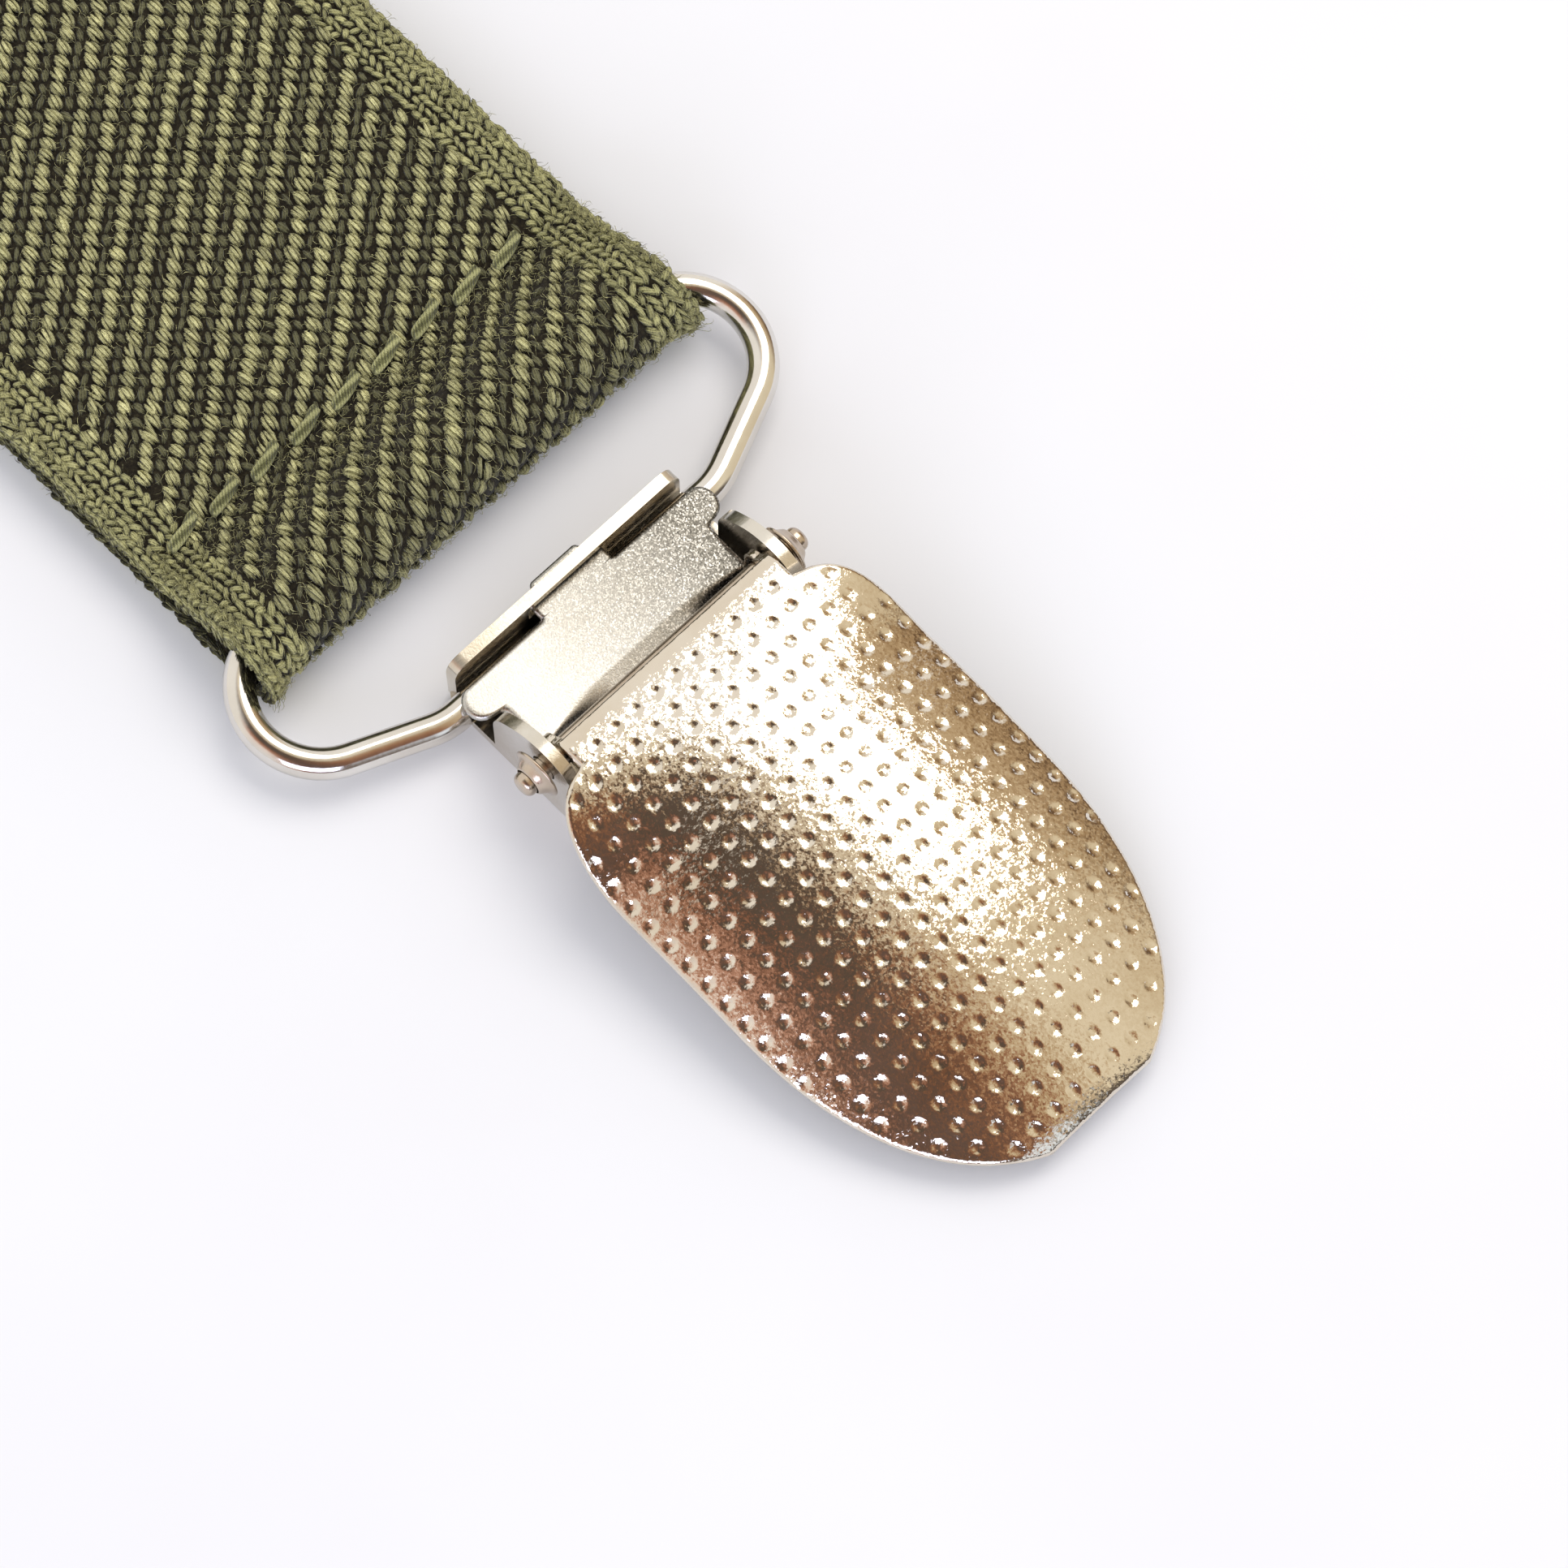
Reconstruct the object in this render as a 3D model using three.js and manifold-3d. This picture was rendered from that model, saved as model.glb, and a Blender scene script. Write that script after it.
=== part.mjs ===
// Trouser-brace clip on the folded end of an elastic strap, in millimetres, +Z up.
// The origin lies on the underside of the back plate, straight below the hinge pin.
// +X runs along the hinge pin, +Y towards the strap, -Y towards the tip of the lever.

import * as THREE from 'three';
import { mergeVertices } from 'three/addons/utils/BufferGeometryUtils.js';
import Module from 'manifold-3d';

const wasm = await Module();
wasm.setup();

// ---------------------------------------------------------------- driving dimensions

// Stock: sheet, wire, pin and webbing
const BASE_SHEET = 0.8;
const JAW_SHEET = 0.55;
const LEVER_SHEET = 0.6;
const WIRE_DIAMETER = 2.0;
const PIN_DIAMETER = 1.6;
const WEB_WIDTH = 35;
const WEB_THICKNESS = 1.7;

// Clearances
const SEAT_GAP = 0.1;
const PIN_GAP = 0.1;
const WIRE_PLAY = 0.2;
const SIDE_PLAY = 0.2;
const LAYER_GAP = 0.3;
const BAR_GAP = 0.5;

// Jaws
const JAW_WIDTH = 16.8;
const JAW_CORNER = 1.5;
const SHOULDER_OVERHANG = 0.5;
const SHELF_LENGTH = 2.4;
const SHELF_CORNER = 1.1;
const BEND_TO_CAM = 0.5;
const BEND_LENGTH = 1.2;
const TAB_WIDTH = 5.8;
const TAB_OVERHANG = 0.5;
const SLOT_PLAY = 0.3;
const PAD_THICKNESS = 0.6;
const PAD_INSET = 1.2;
const PAD_LENGTH = 17;
const TOOTH_PITCH = 1.5;
const TOOTH_DEPTH = 0.3;

// Hinge
const CAM_WALL = 0.5;
const CAM_LIFT = 0.95;
const CHEEK_LENGTH = 6.5;
const EAR_LENGTH = 8.8;
const EAR_MARGIN = 1.5;
const EAR_CORNER = 1.4;
const COLLAR_FLANGE = 0.8;
const COLLAR_RIM = 0.25;
const COLLAR_STANDOFF = 0.4;
const COLLAR_CONE = 0.6;
const PIN_NUB = 0.65;
const EAR_TO_BAR = 1.5;

// Rear wall of the back plate
const WALL_INSET = 0.4;
const WALL_BRIDGE = 0.55;
const WALL_CORNER = 1.2;

// Lever cover
const LEVER_WIDTH = 25.4;
const LEVER_LENGTH = 36.9;
const TIP_OVERHANG = 10.4;
const LEVER_RISE = 2.65;
const LEVER_TIP_DROP = 5.6;
const LEVER_CREST = 8;
const SHOULDER_START = 2.3;
const SHOULDER_END = 11;
const TAPER_LENGTH = 17.9;
const TIP_CUT = 0.7;
const TAPER_POWER = 2.2;
const DOME_RADIUS = 24;
const DOME_START = 1;
const DOME_FULL = 10;
const REAR_ROLL = 0.3;
const TIP_LIP = 0.45;
const LIP_LENGTH = 2;

// Wire loop
const LOOP_HEIGHT = 11.6;
const LOOP_CORNER = 4.8;
const LOOP_OVERHANG = 1.0;
const LOOP_BUTT_GAP = 0.3;
const LOOP_MARGIN = 2.2;

// Strap
const STRAP_LENGTH = 46.5;
const SEAM_SETBACK = 10.9;
const SEAM_MARGIN = 1.6;
const THREAD_WIDTH = 0.6;
const THREAD_HEIGHT = 0.4;

// ---------------------------------------------------------------- sizes that follow

const PIN_RADIUS = PIN_DIAMETER / 2;
const WIRE_RADIUS = WIRE_DIAMETER / 2;
const PIN_HOLE = PIN_RADIUS + PIN_GAP;
const COLLAR_RADIUS = PIN_HOLE + COLLAR_FLANGE;
const CAM_HEEL = PIN_HOLE + CAM_WALL;
const CAM_REACH = CAM_HEEL + CAM_LIFT;

// Heights, from the underside of the back plate upwards
const LOWER_PAD_Z = BASE_SHEET + SEAT_GAP;
const UPPER_PAD_Z = LOWER_PAD_Z + PAD_THICKNESS + SEAT_GAP;
const JAW_Z = UPPER_PAD_Z + PAD_THICKNESS + SEAT_GAP;
const JAW_TOP = JAW_Z + JAW_SHEET;
const PIN_Z = JAW_TOP + SEAT_GAP + CAM_REACH;
const BAR_Z = BASE_SHEET + WIRE_PLAY + WIRE_RADIUS;
const SHELF_Z = BAR_Z + WIRE_RADIUS + WIRE_PLAY;
const WALL_HEIGHT = SHELF_Z + JAW_SHEET + SLOT_PLAY + WALL_BRIDGE;
const EAR_TOP = PIN_Z + PIN_HOLE + EAR_MARGIN;

// Widths
const EAR_INNER = JAW_WIDTH / 2 + 2 * SIDE_PLAY;
const EAR_OUTER = EAR_INNER + BASE_SHEET;
const NECK_HALF = EAR_INNER - SIDE_PLAY;
const SHELF_HALF = EAR_OUTER + SHOULDER_OVERHANG;
const LEVER_HALF = LEVER_WIDTH / 2;

// Places along Y
const JAW_REACH = LEVER_LENGTH - TIP_OVERHANG;
const TAPER_START = LEVER_LENGTH - TAPER_LENGTH;
const TAPER_SPAN = TAPER_LENGTH + TIP_CUT;
const EAR_REAR = EAR_LENGTH / 2;
const BAR_Y = EAR_REAR + EAR_TO_BAR + WIRE_RADIUS;
const WALL_Y = BAR_Y + WIRE_RADIUS + WIRE_PLAY;
const SHELF_REAR = WALL_Y - BASE_SHEET;
const HOOK_Y = WALL_Y + BASE_SHEET / 2;
const TOP_BAR_Y = BAR_Y + LOOP_HEIGHT;
const TOP_BAR_Z = WEB_THICKNESS + BAR_GAP + WIRE_RADIUS;
const FOLD_RADIUS = WIRE_RADIUS + BAR_GAP + WEB_THICKNESS;
const FOLD_Y = TOP_BAR_Y - FOLD_RADIUS;
const SEAM_Y = FOLD_Y + SEAM_SETBACK;
const STRAP_END = FOLD_Y + STRAP_LENGTH;

// ---------------------------------------------------------------- helpers

/** A closed shape through corners [x, y, radius], each rounded by a curve of that reach. */
function roundedShape(corners) {
  const shape = new THREE.Shape();
  const count = corners.length;
  const toward = (from, to, reach) => {
    const a = new THREE.Vector2(from[0], from[1]);
    const b = new THREE.Vector2(to[0], to[1]);
    const share = Math.min(reach / a.distanceTo(b), 0.5);
    return a.lerp(b, share);
  };
  corners.forEach((corner, index) => {
    const before = corners[(index + count - 1) % count];
    const after = corners[(index + 1) % count];
    const start = toward(corner, before, corner[2]);
    const end = toward(corner, after, corner[2]);
    if (index === 0) shape.moveTo(start.x, start.y);
    else shape.lineTo(start.x, start.y);
    if (corner[2] > 0) shape.quadraticCurveTo(corner[0], corner[1], end.x, end.y);
  });
  shape.closePath();
  return shape;
}

/** The corners of the right half of an outline, mirrored to make the whole outline. */
function mirrored(half) {
  return [...half, ...half.map(([x, y, r]) => [-x, y, r]).reverse()];
}

const CURVE_STEPS = 6;

/** A plate of the given plan outline, from height z up by its thickness. */
function plateGeometry(shape, z, thickness) {
  const options = { depth: thickness, bevelEnabled: false, curveSegments: CURVE_STEPS };
  return new THREE.ExtrudeGeometry(shape, options).translate(0, 0, z);
}

/** A side profile drawn in Y and Z, carried along X from x by its width. */
function profileGeometry(shape, x, width) {
  const options = { depth: width, bevelEnabled: false, curveSegments: CURVE_STEPS };
  const basis = new THREE.Matrix4().makeBasis(
    new THREE.Vector3(0, 1, 0), new THREE.Vector3(0, 0, 1), new THREE.Vector3(1, 0, 0));
  return new THREE.ExtrudeGeometry(shape, options).applyMatrix4(basis).translate(x, 0, 0);
}

/** A front view drawn in X and Z, carried along Y from y by its depth. */
function wallGeometry(shape, y, depth) {
  const options = { depth, bevelEnabled: false, curveSegments: CURVE_STEPS };
  const basis = new THREE.Matrix4().makeBasis(
    new THREE.Vector3(1, 0, 0), new THREE.Vector3(0, 0, 1), new THREE.Vector3(0, -1, 0));
  return new THREE.ExtrudeGeometry(shape, options).applyMatrix4(basis).translate(0, y + depth, 0);
}

/** A block between two corners. */
function blockGeometry(low, high) {
  const size = high.map((value, axis) => value - low[axis]);
  const middle = high.map((value, axis) => (value + low[axis]) / 2);
  return new THREE.BoxGeometry(...size).translate(...middle);
}

/** A round piece about a line along X at the pin's place; the profile is [x, radius] pairs. */
function turnedGeometry(profile) {
  const points = profile.map(([x, radius]) => new THREE.Vector2(radius, x));
  return new THREE.LatheGeometry(points, 24)
    .rotateZ(-Math.PI / 2)
    .translate(0, 0, PIN_Z);
}

/** A round rod along X through the hinge, for drilling the pin holes. */
function drillGeometry(radius, length) {
  return new THREE.CylinderGeometry(radius, radius, length, 24)
    .rotateZ(-Math.PI / 2)
    .translate(0, 0, PIN_Z);
}

/** The manifold solid of a closed three.js geometry. */
function solidOf(geometry) {
  const bare = geometry.clone();
  bare.deleteAttribute('normal');
  bare.deleteAttribute('uv');
  const merged = mergeVertices(bare, 1e-5);
  const vertProperties = new Float32Array(merged.attributes.position.array);
  const triVerts = new Uint32Array(merged.index.array);
  return new wasm.Manifold(new wasm.Mesh({ numProp: 3, vertProperties, triVerts }));
}

/** The three.js geometry of a manifold solid. */
function geometryOf(solid) {
  const mesh = solid.getMesh();
  const geometry = new THREE.BufferGeometry();
  geometry.setAttribute('position', new THREE.BufferAttribute(mesh.vertProperties, 3));
  geometry.setIndex(new THREE.BufferAttribute(mesh.triVerts, 1));
  geometry.computeVertexNormals();
  return geometry;
}

/** Every vertex of a geometry moved by a rule that takes and returns x, y and z. */
function reshape(geometry, rule) {
  const position = geometry.attributes.position;
  for (let i = 0; i < position.count; i += 1) {
    const place = rule(position.getX(i), position.getY(i), position.getZ(i));
    position.setXYZ(i, ...place);
  }
  geometry.computeVertexNormals();
  return geometry;
}

const clip = new THREE.Group();

/** Adds a named piece to the clip with its own material. */
function addPiece(name, geometry, color, roughness, metalness) {
  const material = new THREE.MeshStandardMaterial({ color, roughness, metalness });
  const mesh = new THREE.Mesh(geometry, material);
  mesh.name = name;
  clip.add(mesh);
}

const NICKEL = 0xcdbf9f;
const WEBBING = 0x6d6c42;

// ---------------------------------------------------------------- back plate

/** The flat bottom, a jaw in front and a wider channel for the wire bar behind. */
function backPlateFloor() {
  const rear = WALL_Y + BASE_SHEET;
  const jaw = JAW_WIDTH / 2;
  const outline = mirrored([
    [EAR_OUTER, rear, WALL_CORNER],
    [EAR_OUTER, -EAR_REAR, JAW_CORNER],
    [jaw, -EAR_REAR - JAW_CORNER, JAW_CORNER],
    [jaw, -JAW_REACH, JAW_CORNER],
  ].reverse());
  return solidOf(plateGeometry(roundedShape(outline), 0, BASE_SHEET));
}

/** One ear, turned up at the side, with its rounded top around the pin. */
function ear(side) {
  const profile = roundedShape([
    [-EAR_REAR, BASE_SHEET / 2, 0],
    [-EAR_REAR * 0.82, PIN_Z - PIN_RADIUS, EAR_CORNER],
    [-EAR_CORNER, EAR_TOP, EAR_CORNER],
    [EAR_CORNER, EAR_TOP, EAR_CORNER],
    [EAR_REAR, PIN_Z, EAR_CORNER],
    [EAR_REAR, BASE_SHEET / 2, 0],
  ].reverse());
  const x = side > 0 ? EAR_INNER : -EAR_OUTER;
  return solidOf(profileGeometry(profile, x, BASE_SHEET));
}

/** The wall behind the wire bar, with the slot that the front jaw hooks into. */
function rearWall() {
  const half = EAR_OUTER - WALL_INSET;
  const front = roundedShape(mirrored([
    [half, BASE_SHEET / 2, 0],
    [half, WALL_HEIGHT, WALL_CORNER],
  ]));
  const slotHalf = TAB_WIDTH / 2 + SLOT_PLAY;
  const slot = blockGeometry(
    [-slotHalf, WALL_Y - 1, SHELF_Z - SLOT_PLAY],
    [slotHalf, WALL_Y + BASE_SHEET + 1, SHELF_Z + JAW_SHEET + SLOT_PLAY]);
  return solidOf(wallGeometry(front, WALL_Y, BASE_SHEET)).subtract(solidOf(slot));
}

const backPlate = backPlateFloor()
  .add(ear(1))
  .add(ear(-1))
  .add(rearWall())
  .subtract(solidOf(drillGeometry(PIN_HOLE, 2 * EAR_OUTER + 2)));
addPiece('back_plate', geometryOf(backPlate), NICKEL, 0.28, 1);

// ---------------------------------------------------------------- front jaw

/** The jaw seen from the side: hook tab, shelf over the wire bar, bend and flat jaw. */
function frontJawProfile() {
  const bendRear = CAM_HEEL + BEND_TO_CAM;
  const bendFront = bendRear - BEND_LENGTH;
  const tabEnd = WALL_Y + BASE_SHEET + TAB_OVERHANG;
  return roundedShape([
    [tabEnd, SHELF_Z, 0],
    [tabEnd, SHELF_Z + JAW_SHEET, 0],
    [bendRear, SHELF_Z + JAW_SHEET, JAW_SHEET],
    [bendFront, JAW_TOP, JAW_SHEET],
    [-JAW_REACH, JAW_TOP, 0],
    [-JAW_REACH, JAW_Z, 0],
    [bendFront, JAW_Z, JAW_SHEET],
    [bendRear, SHELF_Z, JAW_SHEET],
  ]);
}

/** The jaw seen from above: tab, shoulders over the wire bar, waist and jaw. */
function frontJawPlan() {
  const jaw = JAW_WIDTH / 2;
  const shelfFront = SHELF_REAR - SHELF_LENGTH;
  return roundedShape(mirrored([
    [TAB_WIDTH / 2, WALL_Y + BASE_SHEET + TAB_OVERHANG + 1, 0],
    [TAB_WIDTH / 2, SHELF_REAR, SEAT_GAP],
    [SHELF_HALF, SHELF_REAR, SHELF_CORNER],
    [SHELF_HALF, shelfFront, SHELF_CORNER],
    [jaw, shelfFront - SEAT_GAP, SHELF_CORNER / 2],
    [jaw, -JAW_REACH, JAW_CORNER],
  ].reverse()));
}

const jawBand = solidOf(profileGeometry(frontJawProfile(), -SHELF_HALF, 2 * SHELF_HALF));
const jawCutter = solidOf(plateGeometry(frontJawPlan(), 0, SHELF_Z + JAW_SHEET + 1));
addPiece('front_jaw', geometryOf(jawBand.intersect(jawCutter)), NICKEL, 0.35, 1);

// ---------------------------------------------------------------- jaw pads

/** A pad from flat face to toothed face; the teeth run across the jaw. */
function padGeometry(flatZ, toothedZ) {
  const front = PAD_INSET - JAW_REACH;
  const teeth = Math.floor(PAD_LENGTH / TOOTH_PITCH);
  const bite = -TOOTH_DEPTH;
  const shape = new THREE.Shape();
  shape.moveTo(front, flatZ);
  shape.lineTo(front, toothedZ);
  for (let tooth = 0; tooth < teeth; tooth += 1) {
    const y = front + tooth * TOOTH_PITCH;
    shape.lineTo(y + TOOTH_PITCH / 2, toothedZ + bite);
    shape.lineTo(y + TOOTH_PITCH, toothedZ);
  }
  shape.lineTo(front + teeth * TOOTH_PITCH, flatZ);
  shape.closePath();
  const half = JAW_WIDTH / 2 - PAD_INSET;
  return profileGeometry(shape, -half, 2 * half);
}

const PAD_PLASTIC = 0xe9e4d6;
const lowerPadTop = LOWER_PAD_Z + PAD_THICKNESS;
addPiece('lower_jaw_pad', padGeometry(LOWER_PAD_Z, lowerPadTop), PAD_PLASTIC, 0.5, 0);
addPiece('upper_jaw_pad', padGeometry(JAW_Z - SEAT_GAP, UPPER_PAD_Z), PAD_PLASTIC, 0.5, 0);

// ---------------------------------------------------------------- hinge pin and collars

const PIN_HALF = EAR_OUTER + COLLAR_STANDOFF + COLLAR_RIM + COLLAR_CONE + PIN_NUB;
const NUB_ROUND = PIN_RADIUS * 0.45;
const pinProfile = [
  [-PIN_HALF, 0],
  [-PIN_HALF, PIN_RADIUS - NUB_ROUND],
  [-PIN_HALF + NUB_ROUND, PIN_RADIUS],
  [PIN_HALF - NUB_ROUND, PIN_RADIUS],
  [PIN_HALF, PIN_RADIUS - NUB_ROUND],
  [PIN_HALF, 0],
];
addPiece('hinge_pin', turnedGeometry(pinProfile), 0xb8aa90, 0.25, 1);

/** A dished retaining collar on one end of the pin, its rim towards the ear. */
function collarGeometry(side) {
  const rim = EAR_OUTER + COLLAR_STANDOFF;
  const profile = [
    [rim, PIN_HOLE],
    [rim, COLLAR_RADIUS],
    [rim + COLLAR_RIM, COLLAR_RADIUS],
    [rim + COLLAR_RIM + COLLAR_CONE, PIN_HOLE + COLLAR_RIM],
    [rim + COLLAR_RIM + COLLAR_CONE, PIN_HOLE],
    [rim, PIN_HOLE],
  ];
  const sided = profile.map(([x, radius]) => [side * x, radius]);
  return turnedGeometry(side > 0 ? sided : sided.reverse());
}

addPiece('pin_collar_left', collarGeometry(-1), 0xb8aa90, 0.25, 1);
addPiece('pin_collar_right', collarGeometry(1), 0xb8aa90, 0.25, 1);

// ---------------------------------------------------------------- lever cover

/** Half the lever's width at a distance s from its rear edge: neck, shoulder, taper. */
function leverHalfWidth(s) {
  if (s <= SHOULDER_START) return NECK_HALF;
  if (s < SHOULDER_END) {
    const t = (s - SHOULDER_START) / (SHOULDER_END - SHOULDER_START);
    return NECK_HALF + (LEVER_HALF - NECK_HALF) * Math.sqrt(1 - (1 - t) ** 3);
  }
  if (s <= TAPER_START) return LEVER_HALF;
  const t = (s - TAPER_START) / TAPER_SPAN;
  return LEVER_HALF * (1 - t ** TAPER_POWER) ** (1 / TAPER_POWER);
}

/** The height of the lever's outer face: a long arch, a dome across, a turned-down tip. */
function leverTop(x, s) {
  const fall = LEVER_TIP_DROP / (LEVER_LENGTH * (LEVER_LENGTH - 2 * LEVER_CREST));
  const arch = fall * s * (2 * LEVER_CREST - s);
  const dome = THREE.MathUtils.smoothstep(s, DOME_START, DOME_FULL);
  const sag = dome * (DOME_RADIUS - Math.sqrt(DOME_RADIUS ** 2 - x * x));
  const roll = REAR_ROLL * Math.max(0, 1 - s) ** 2;
  const lip = TIP_LIP * Math.max(0, (s - LEVER_LENGTH + LIP_LENGTH) / LIP_LENGTH) ** 2;
  return PIN_Z + LEVER_RISE + arch - sag - roll - lip;
}

/** Distances between two ends, crowded towards the first end when ease is above 1. */
function span(from, to, rows, ease) {
  return Array.from({ length: rows }, (_, row) => from + (to - from) * (row / rows) ** ease);
}

function leverShell() {
  const stations = [
    ...span(0, SHOULDER_START, 3, 1),
    ...span(SHOULDER_START, SHOULDER_END, 9, 2.2),
    ...span(SHOULDER_END, TAPER_START, 3, 1),
    ...span(LEVER_LENGTH, TAPER_START, 12, 1.3).reverse(),
  ];
  const rows = stations.length - 1;
  const block = new THREE.BoxGeometry(1, 1, 1, 14, rows, 1);
  return reshape(block, (u, v, w) => {
    const s = stations[Math.round((0.5 - v) * rows)];
    const x = 2 * u * leverHalfWidth(s);
    return [x, -s, leverTop(x, s) + (w - 0.5) * LEVER_SHEET];
  });
}

/** One cheek under the lever's neck: a cam around the pin that presses the jaw down. */
function cheek(side) {
  const middle = NECK_HALF - LEVER_SHEET / 2;
  const embed = LEVER_SHEET / 2;
  const shape = new THREE.Shape();
  const steps = 8;
  shape.moveTo(0, leverTop(middle, 0) - embed);
  for (let step = 1; step <= steps; step += 1) {
    const s = (CHEEK_LENGTH * step) / steps;
    shape.lineTo(-s, leverTop(middle, s) - embed);
  }
  const lobe = THREE.MathUtils.degToRad(40);
  shape.lineTo(-CAM_REACH * Math.sin(lobe), PIN_Z - CAM_REACH * Math.cos(lobe));
  for (let degree = -20; degree <= 160; degree += 15) {
    const turn = THREE.MathUtils.degToRad(degree);
    const worn = THREE.MathUtils.clamp(degree / 90, 0, 1);
    const radius = CAM_REACH + (CAM_HEEL - CAM_REACH) * worn;
    shape.lineTo(radius * Math.sin(turn), PIN_Z - radius * Math.cos(turn));
  }
  shape.closePath();
  const x = side > 0 ? NECK_HALF - LEVER_SHEET : -NECK_HALF;
  return solidOf(profileGeometry(shape, x, LEVER_SHEET));
}

const leverCover = solidOf(leverShell())
  .add(cheek(1))
  .add(cheek(-1))
  .subtract(solidOf(drillGeometry(PIN_HOLE, 2 * EAR_OUTER)));
addPiece('lever_cover', geometryOf(leverCover), NICKEL, 0.22, 1);

// ---------------------------------------------------------------- wire loop

/** Turns a place in the loop's own plane (across, up from the bar) into model space. */
function onLoop(across, up) {
  const lift = (TOP_BAR_Z - BAR_Z) / LOOP_HEIGHT;
  return new THREE.Vector3(across, BAR_Y + up, BAR_Z + lift * up);
}

/** The right half of the wire's centre line, from the butt joint to the top middle. */
function loopHalf() {
  const cornerX = WEB_WIDTH / 2 + LOOP_MARGIN - LOOP_CORNER;
  const cornerY = LOOP_HEIGHT - LOOP_CORNER;
  const kneeX = SHELF_HALF + LOOP_OVERHANG;
  const towardCorner = new THREE.Vector2(cornerX - kneeX, cornerY);
  const leg = towardCorner.angle() - Math.asin(LOOP_CORNER / towardCorner.length());
  const points = [
    [LOOP_BUTT_GAP / 2, 0],
    [kneeX - LOOP_OVERHANG, 0],
    [kneeX + LOOP_OVERHANG, LOOP_OVERHANG * Math.tan(leg)],
  ];
  const turns = 12;
  for (let turn = 0; turn <= turns; turn += 1) {
    const angle = leg - Math.PI / 2 + (Math.PI - leg) * (turn / turns);
    points.push([cornerX + LOOP_CORNER * Math.cos(angle), cornerY + LOOP_CORNER * Math.sin(angle)]);
  }
  return points;
}

const rightSide = loopHalf();
const wholeLoop = [...rightSide, ...rightSide.map(([x, y]) => [-x, y]).reverse()];
const wirePath = new THREE.CurvePath();
wholeLoop.slice(1).forEach(([x, y], index) => {
  const [fromX, fromY] = wholeLoop[index];
  wirePath.add(new THREE.LineCurve3(onLoop(fromX, fromY), onLoop(x, y)));
});
const wireSection = new THREE.Shape().absarc(0, 0, WIRE_RADIUS, 0, 2 * Math.PI, false);
const wireOptions = { steps: 80, extrudePath: wirePath, curveSegments: 5, bevelEnabled: false };
addPiece('wire_loop', new THREE.ExtrudeGeometry(wireSection, wireOptions), 0xd8d2c4, 0.15, 1);

// ---------------------------------------------------------------- strap and its seam

/** How far the wire has dropped away from its straight top at a distance x from the middle. */
function wireDrop(x) {
  const bend = Math.abs(x) - (WEB_WIDTH / 2 + LOOP_MARGIN - LOOP_CORNER);
  if (bend <= 0) return 0;
  return LOOP_CORNER - Math.sqrt(LOOP_CORNER ** 2 - bend ** 2);
}

/** The webbing seen from its edge: lower layer, fold around the bar, upper layer. */
function strapProfile() {
  const inner = WIRE_RADIUS + BAR_GAP;
  const shape = new THREE.Shape();
  const layerTop = 2 * WEB_THICKNESS + LAYER_GAP;
  const upperZ = WEB_THICKNESS + LAYER_GAP;
  const foldTop = TOP_BAR_Z + FOLD_RADIUS;
  const lead = SEAM_Y - TOP_BAR_Y;
  shape.moveTo(STRAP_END, 0);
  shape.lineTo(STRAP_END, WEB_THICKNESS);
  shape.lineTo(TOP_BAR_Y, WEB_THICKNESS);
  shape.absarc(TOP_BAR_Y, TOP_BAR_Z, inner, -Math.PI / 2, Math.PI / 2, true);
  shape.bezierCurveTo(
    TOP_BAR_Y + lead * 0.4, TOP_BAR_Z + inner,
    SEAM_Y - lead * 0.5, upperZ,
    SEAM_Y, upperZ);
  shape.lineTo(STRAP_END, upperZ);
  shape.lineTo(STRAP_END, layerTop);
  shape.lineTo(SEAM_Y, layerTop);
  shape.bezierCurveTo(
    SEAM_Y - lead * 0.5, layerTop,
    TOP_BAR_Y + lead * 0.4, foldTop,
    TOP_BAR_Y, foldTop);
  shape.absarc(TOP_BAR_Y, TOP_BAR_Z, FOLD_RADIUS, Math.PI / 2, -Math.PI / 2, false);
  shape.closePath();
  return shape;
}

/** The strap follows the wire where it curves away at both edges of the fold. */
function strapGeometry() {
  const options = { depth: WEB_WIDTH, steps: 14, bevelEnabled: false, curveSegments: 8 };
  const basis = new THREE.Matrix4().makeBasis(
    new THREE.Vector3(0, 1, 0), new THREE.Vector3(0, 0, 1), new THREE.Vector3(1, 0, 0));
  const straight = new THREE.ExtrudeGeometry(strapProfile(), options)
    .applyMatrix4(basis)
    .translate(-WEB_WIDTH / 2, 0, 0);
  return reshape(straight, (x, y, z) => {
    const near = 1 - THREE.MathUtils.smoothstep(y, TOP_BAR_Y + WIRE_DIAMETER, SEAM_Y);
    return [x, y - near * wireDrop(x), z];
  });
}

/** The line of the seam as a bar across the strap, from height z up, grown by a margin. */
function seamBar(z, height, margin) {
  const half = WEB_WIDTH / 2 - SEAM_MARGIN + margin;
  const reach = THREAD_WIDTH / 2 + margin;
  return blockGeometry([-half, SEAM_Y - reach, z], [half, SEAM_Y + reach, z + height]);
}

const strapTop = 2 * WEB_THICKNESS + LAYER_GAP;
const groove = THREAD_HEIGHT / 2 + SEAT_GAP;
const underGroove = THREAD_HEIGHT + 2 * SEAT_GAP;
const strap = solidOf(strapGeometry())
  .subtract(solidOf(seamBar(strapTop - groove, groove + 1, SEAT_GAP)))
  .subtract(solidOf(seamBar(-1, underGroove + 1, SEAT_GAP)));
addPiece('strap', geometryOf(strap), WEBBING, 0.95, 0);
addPiece('needle_thread', seamBar(strapTop - THREAD_HEIGHT / 2, THREAD_HEIGHT, 0), 0x7d8050, 0.9, 0);
addPiece('bobbin_thread', seamBar(SEAT_GAP, THREAD_HEIGHT, 0), 0x7d8050, 0.9, 0);

export default clip;
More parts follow.
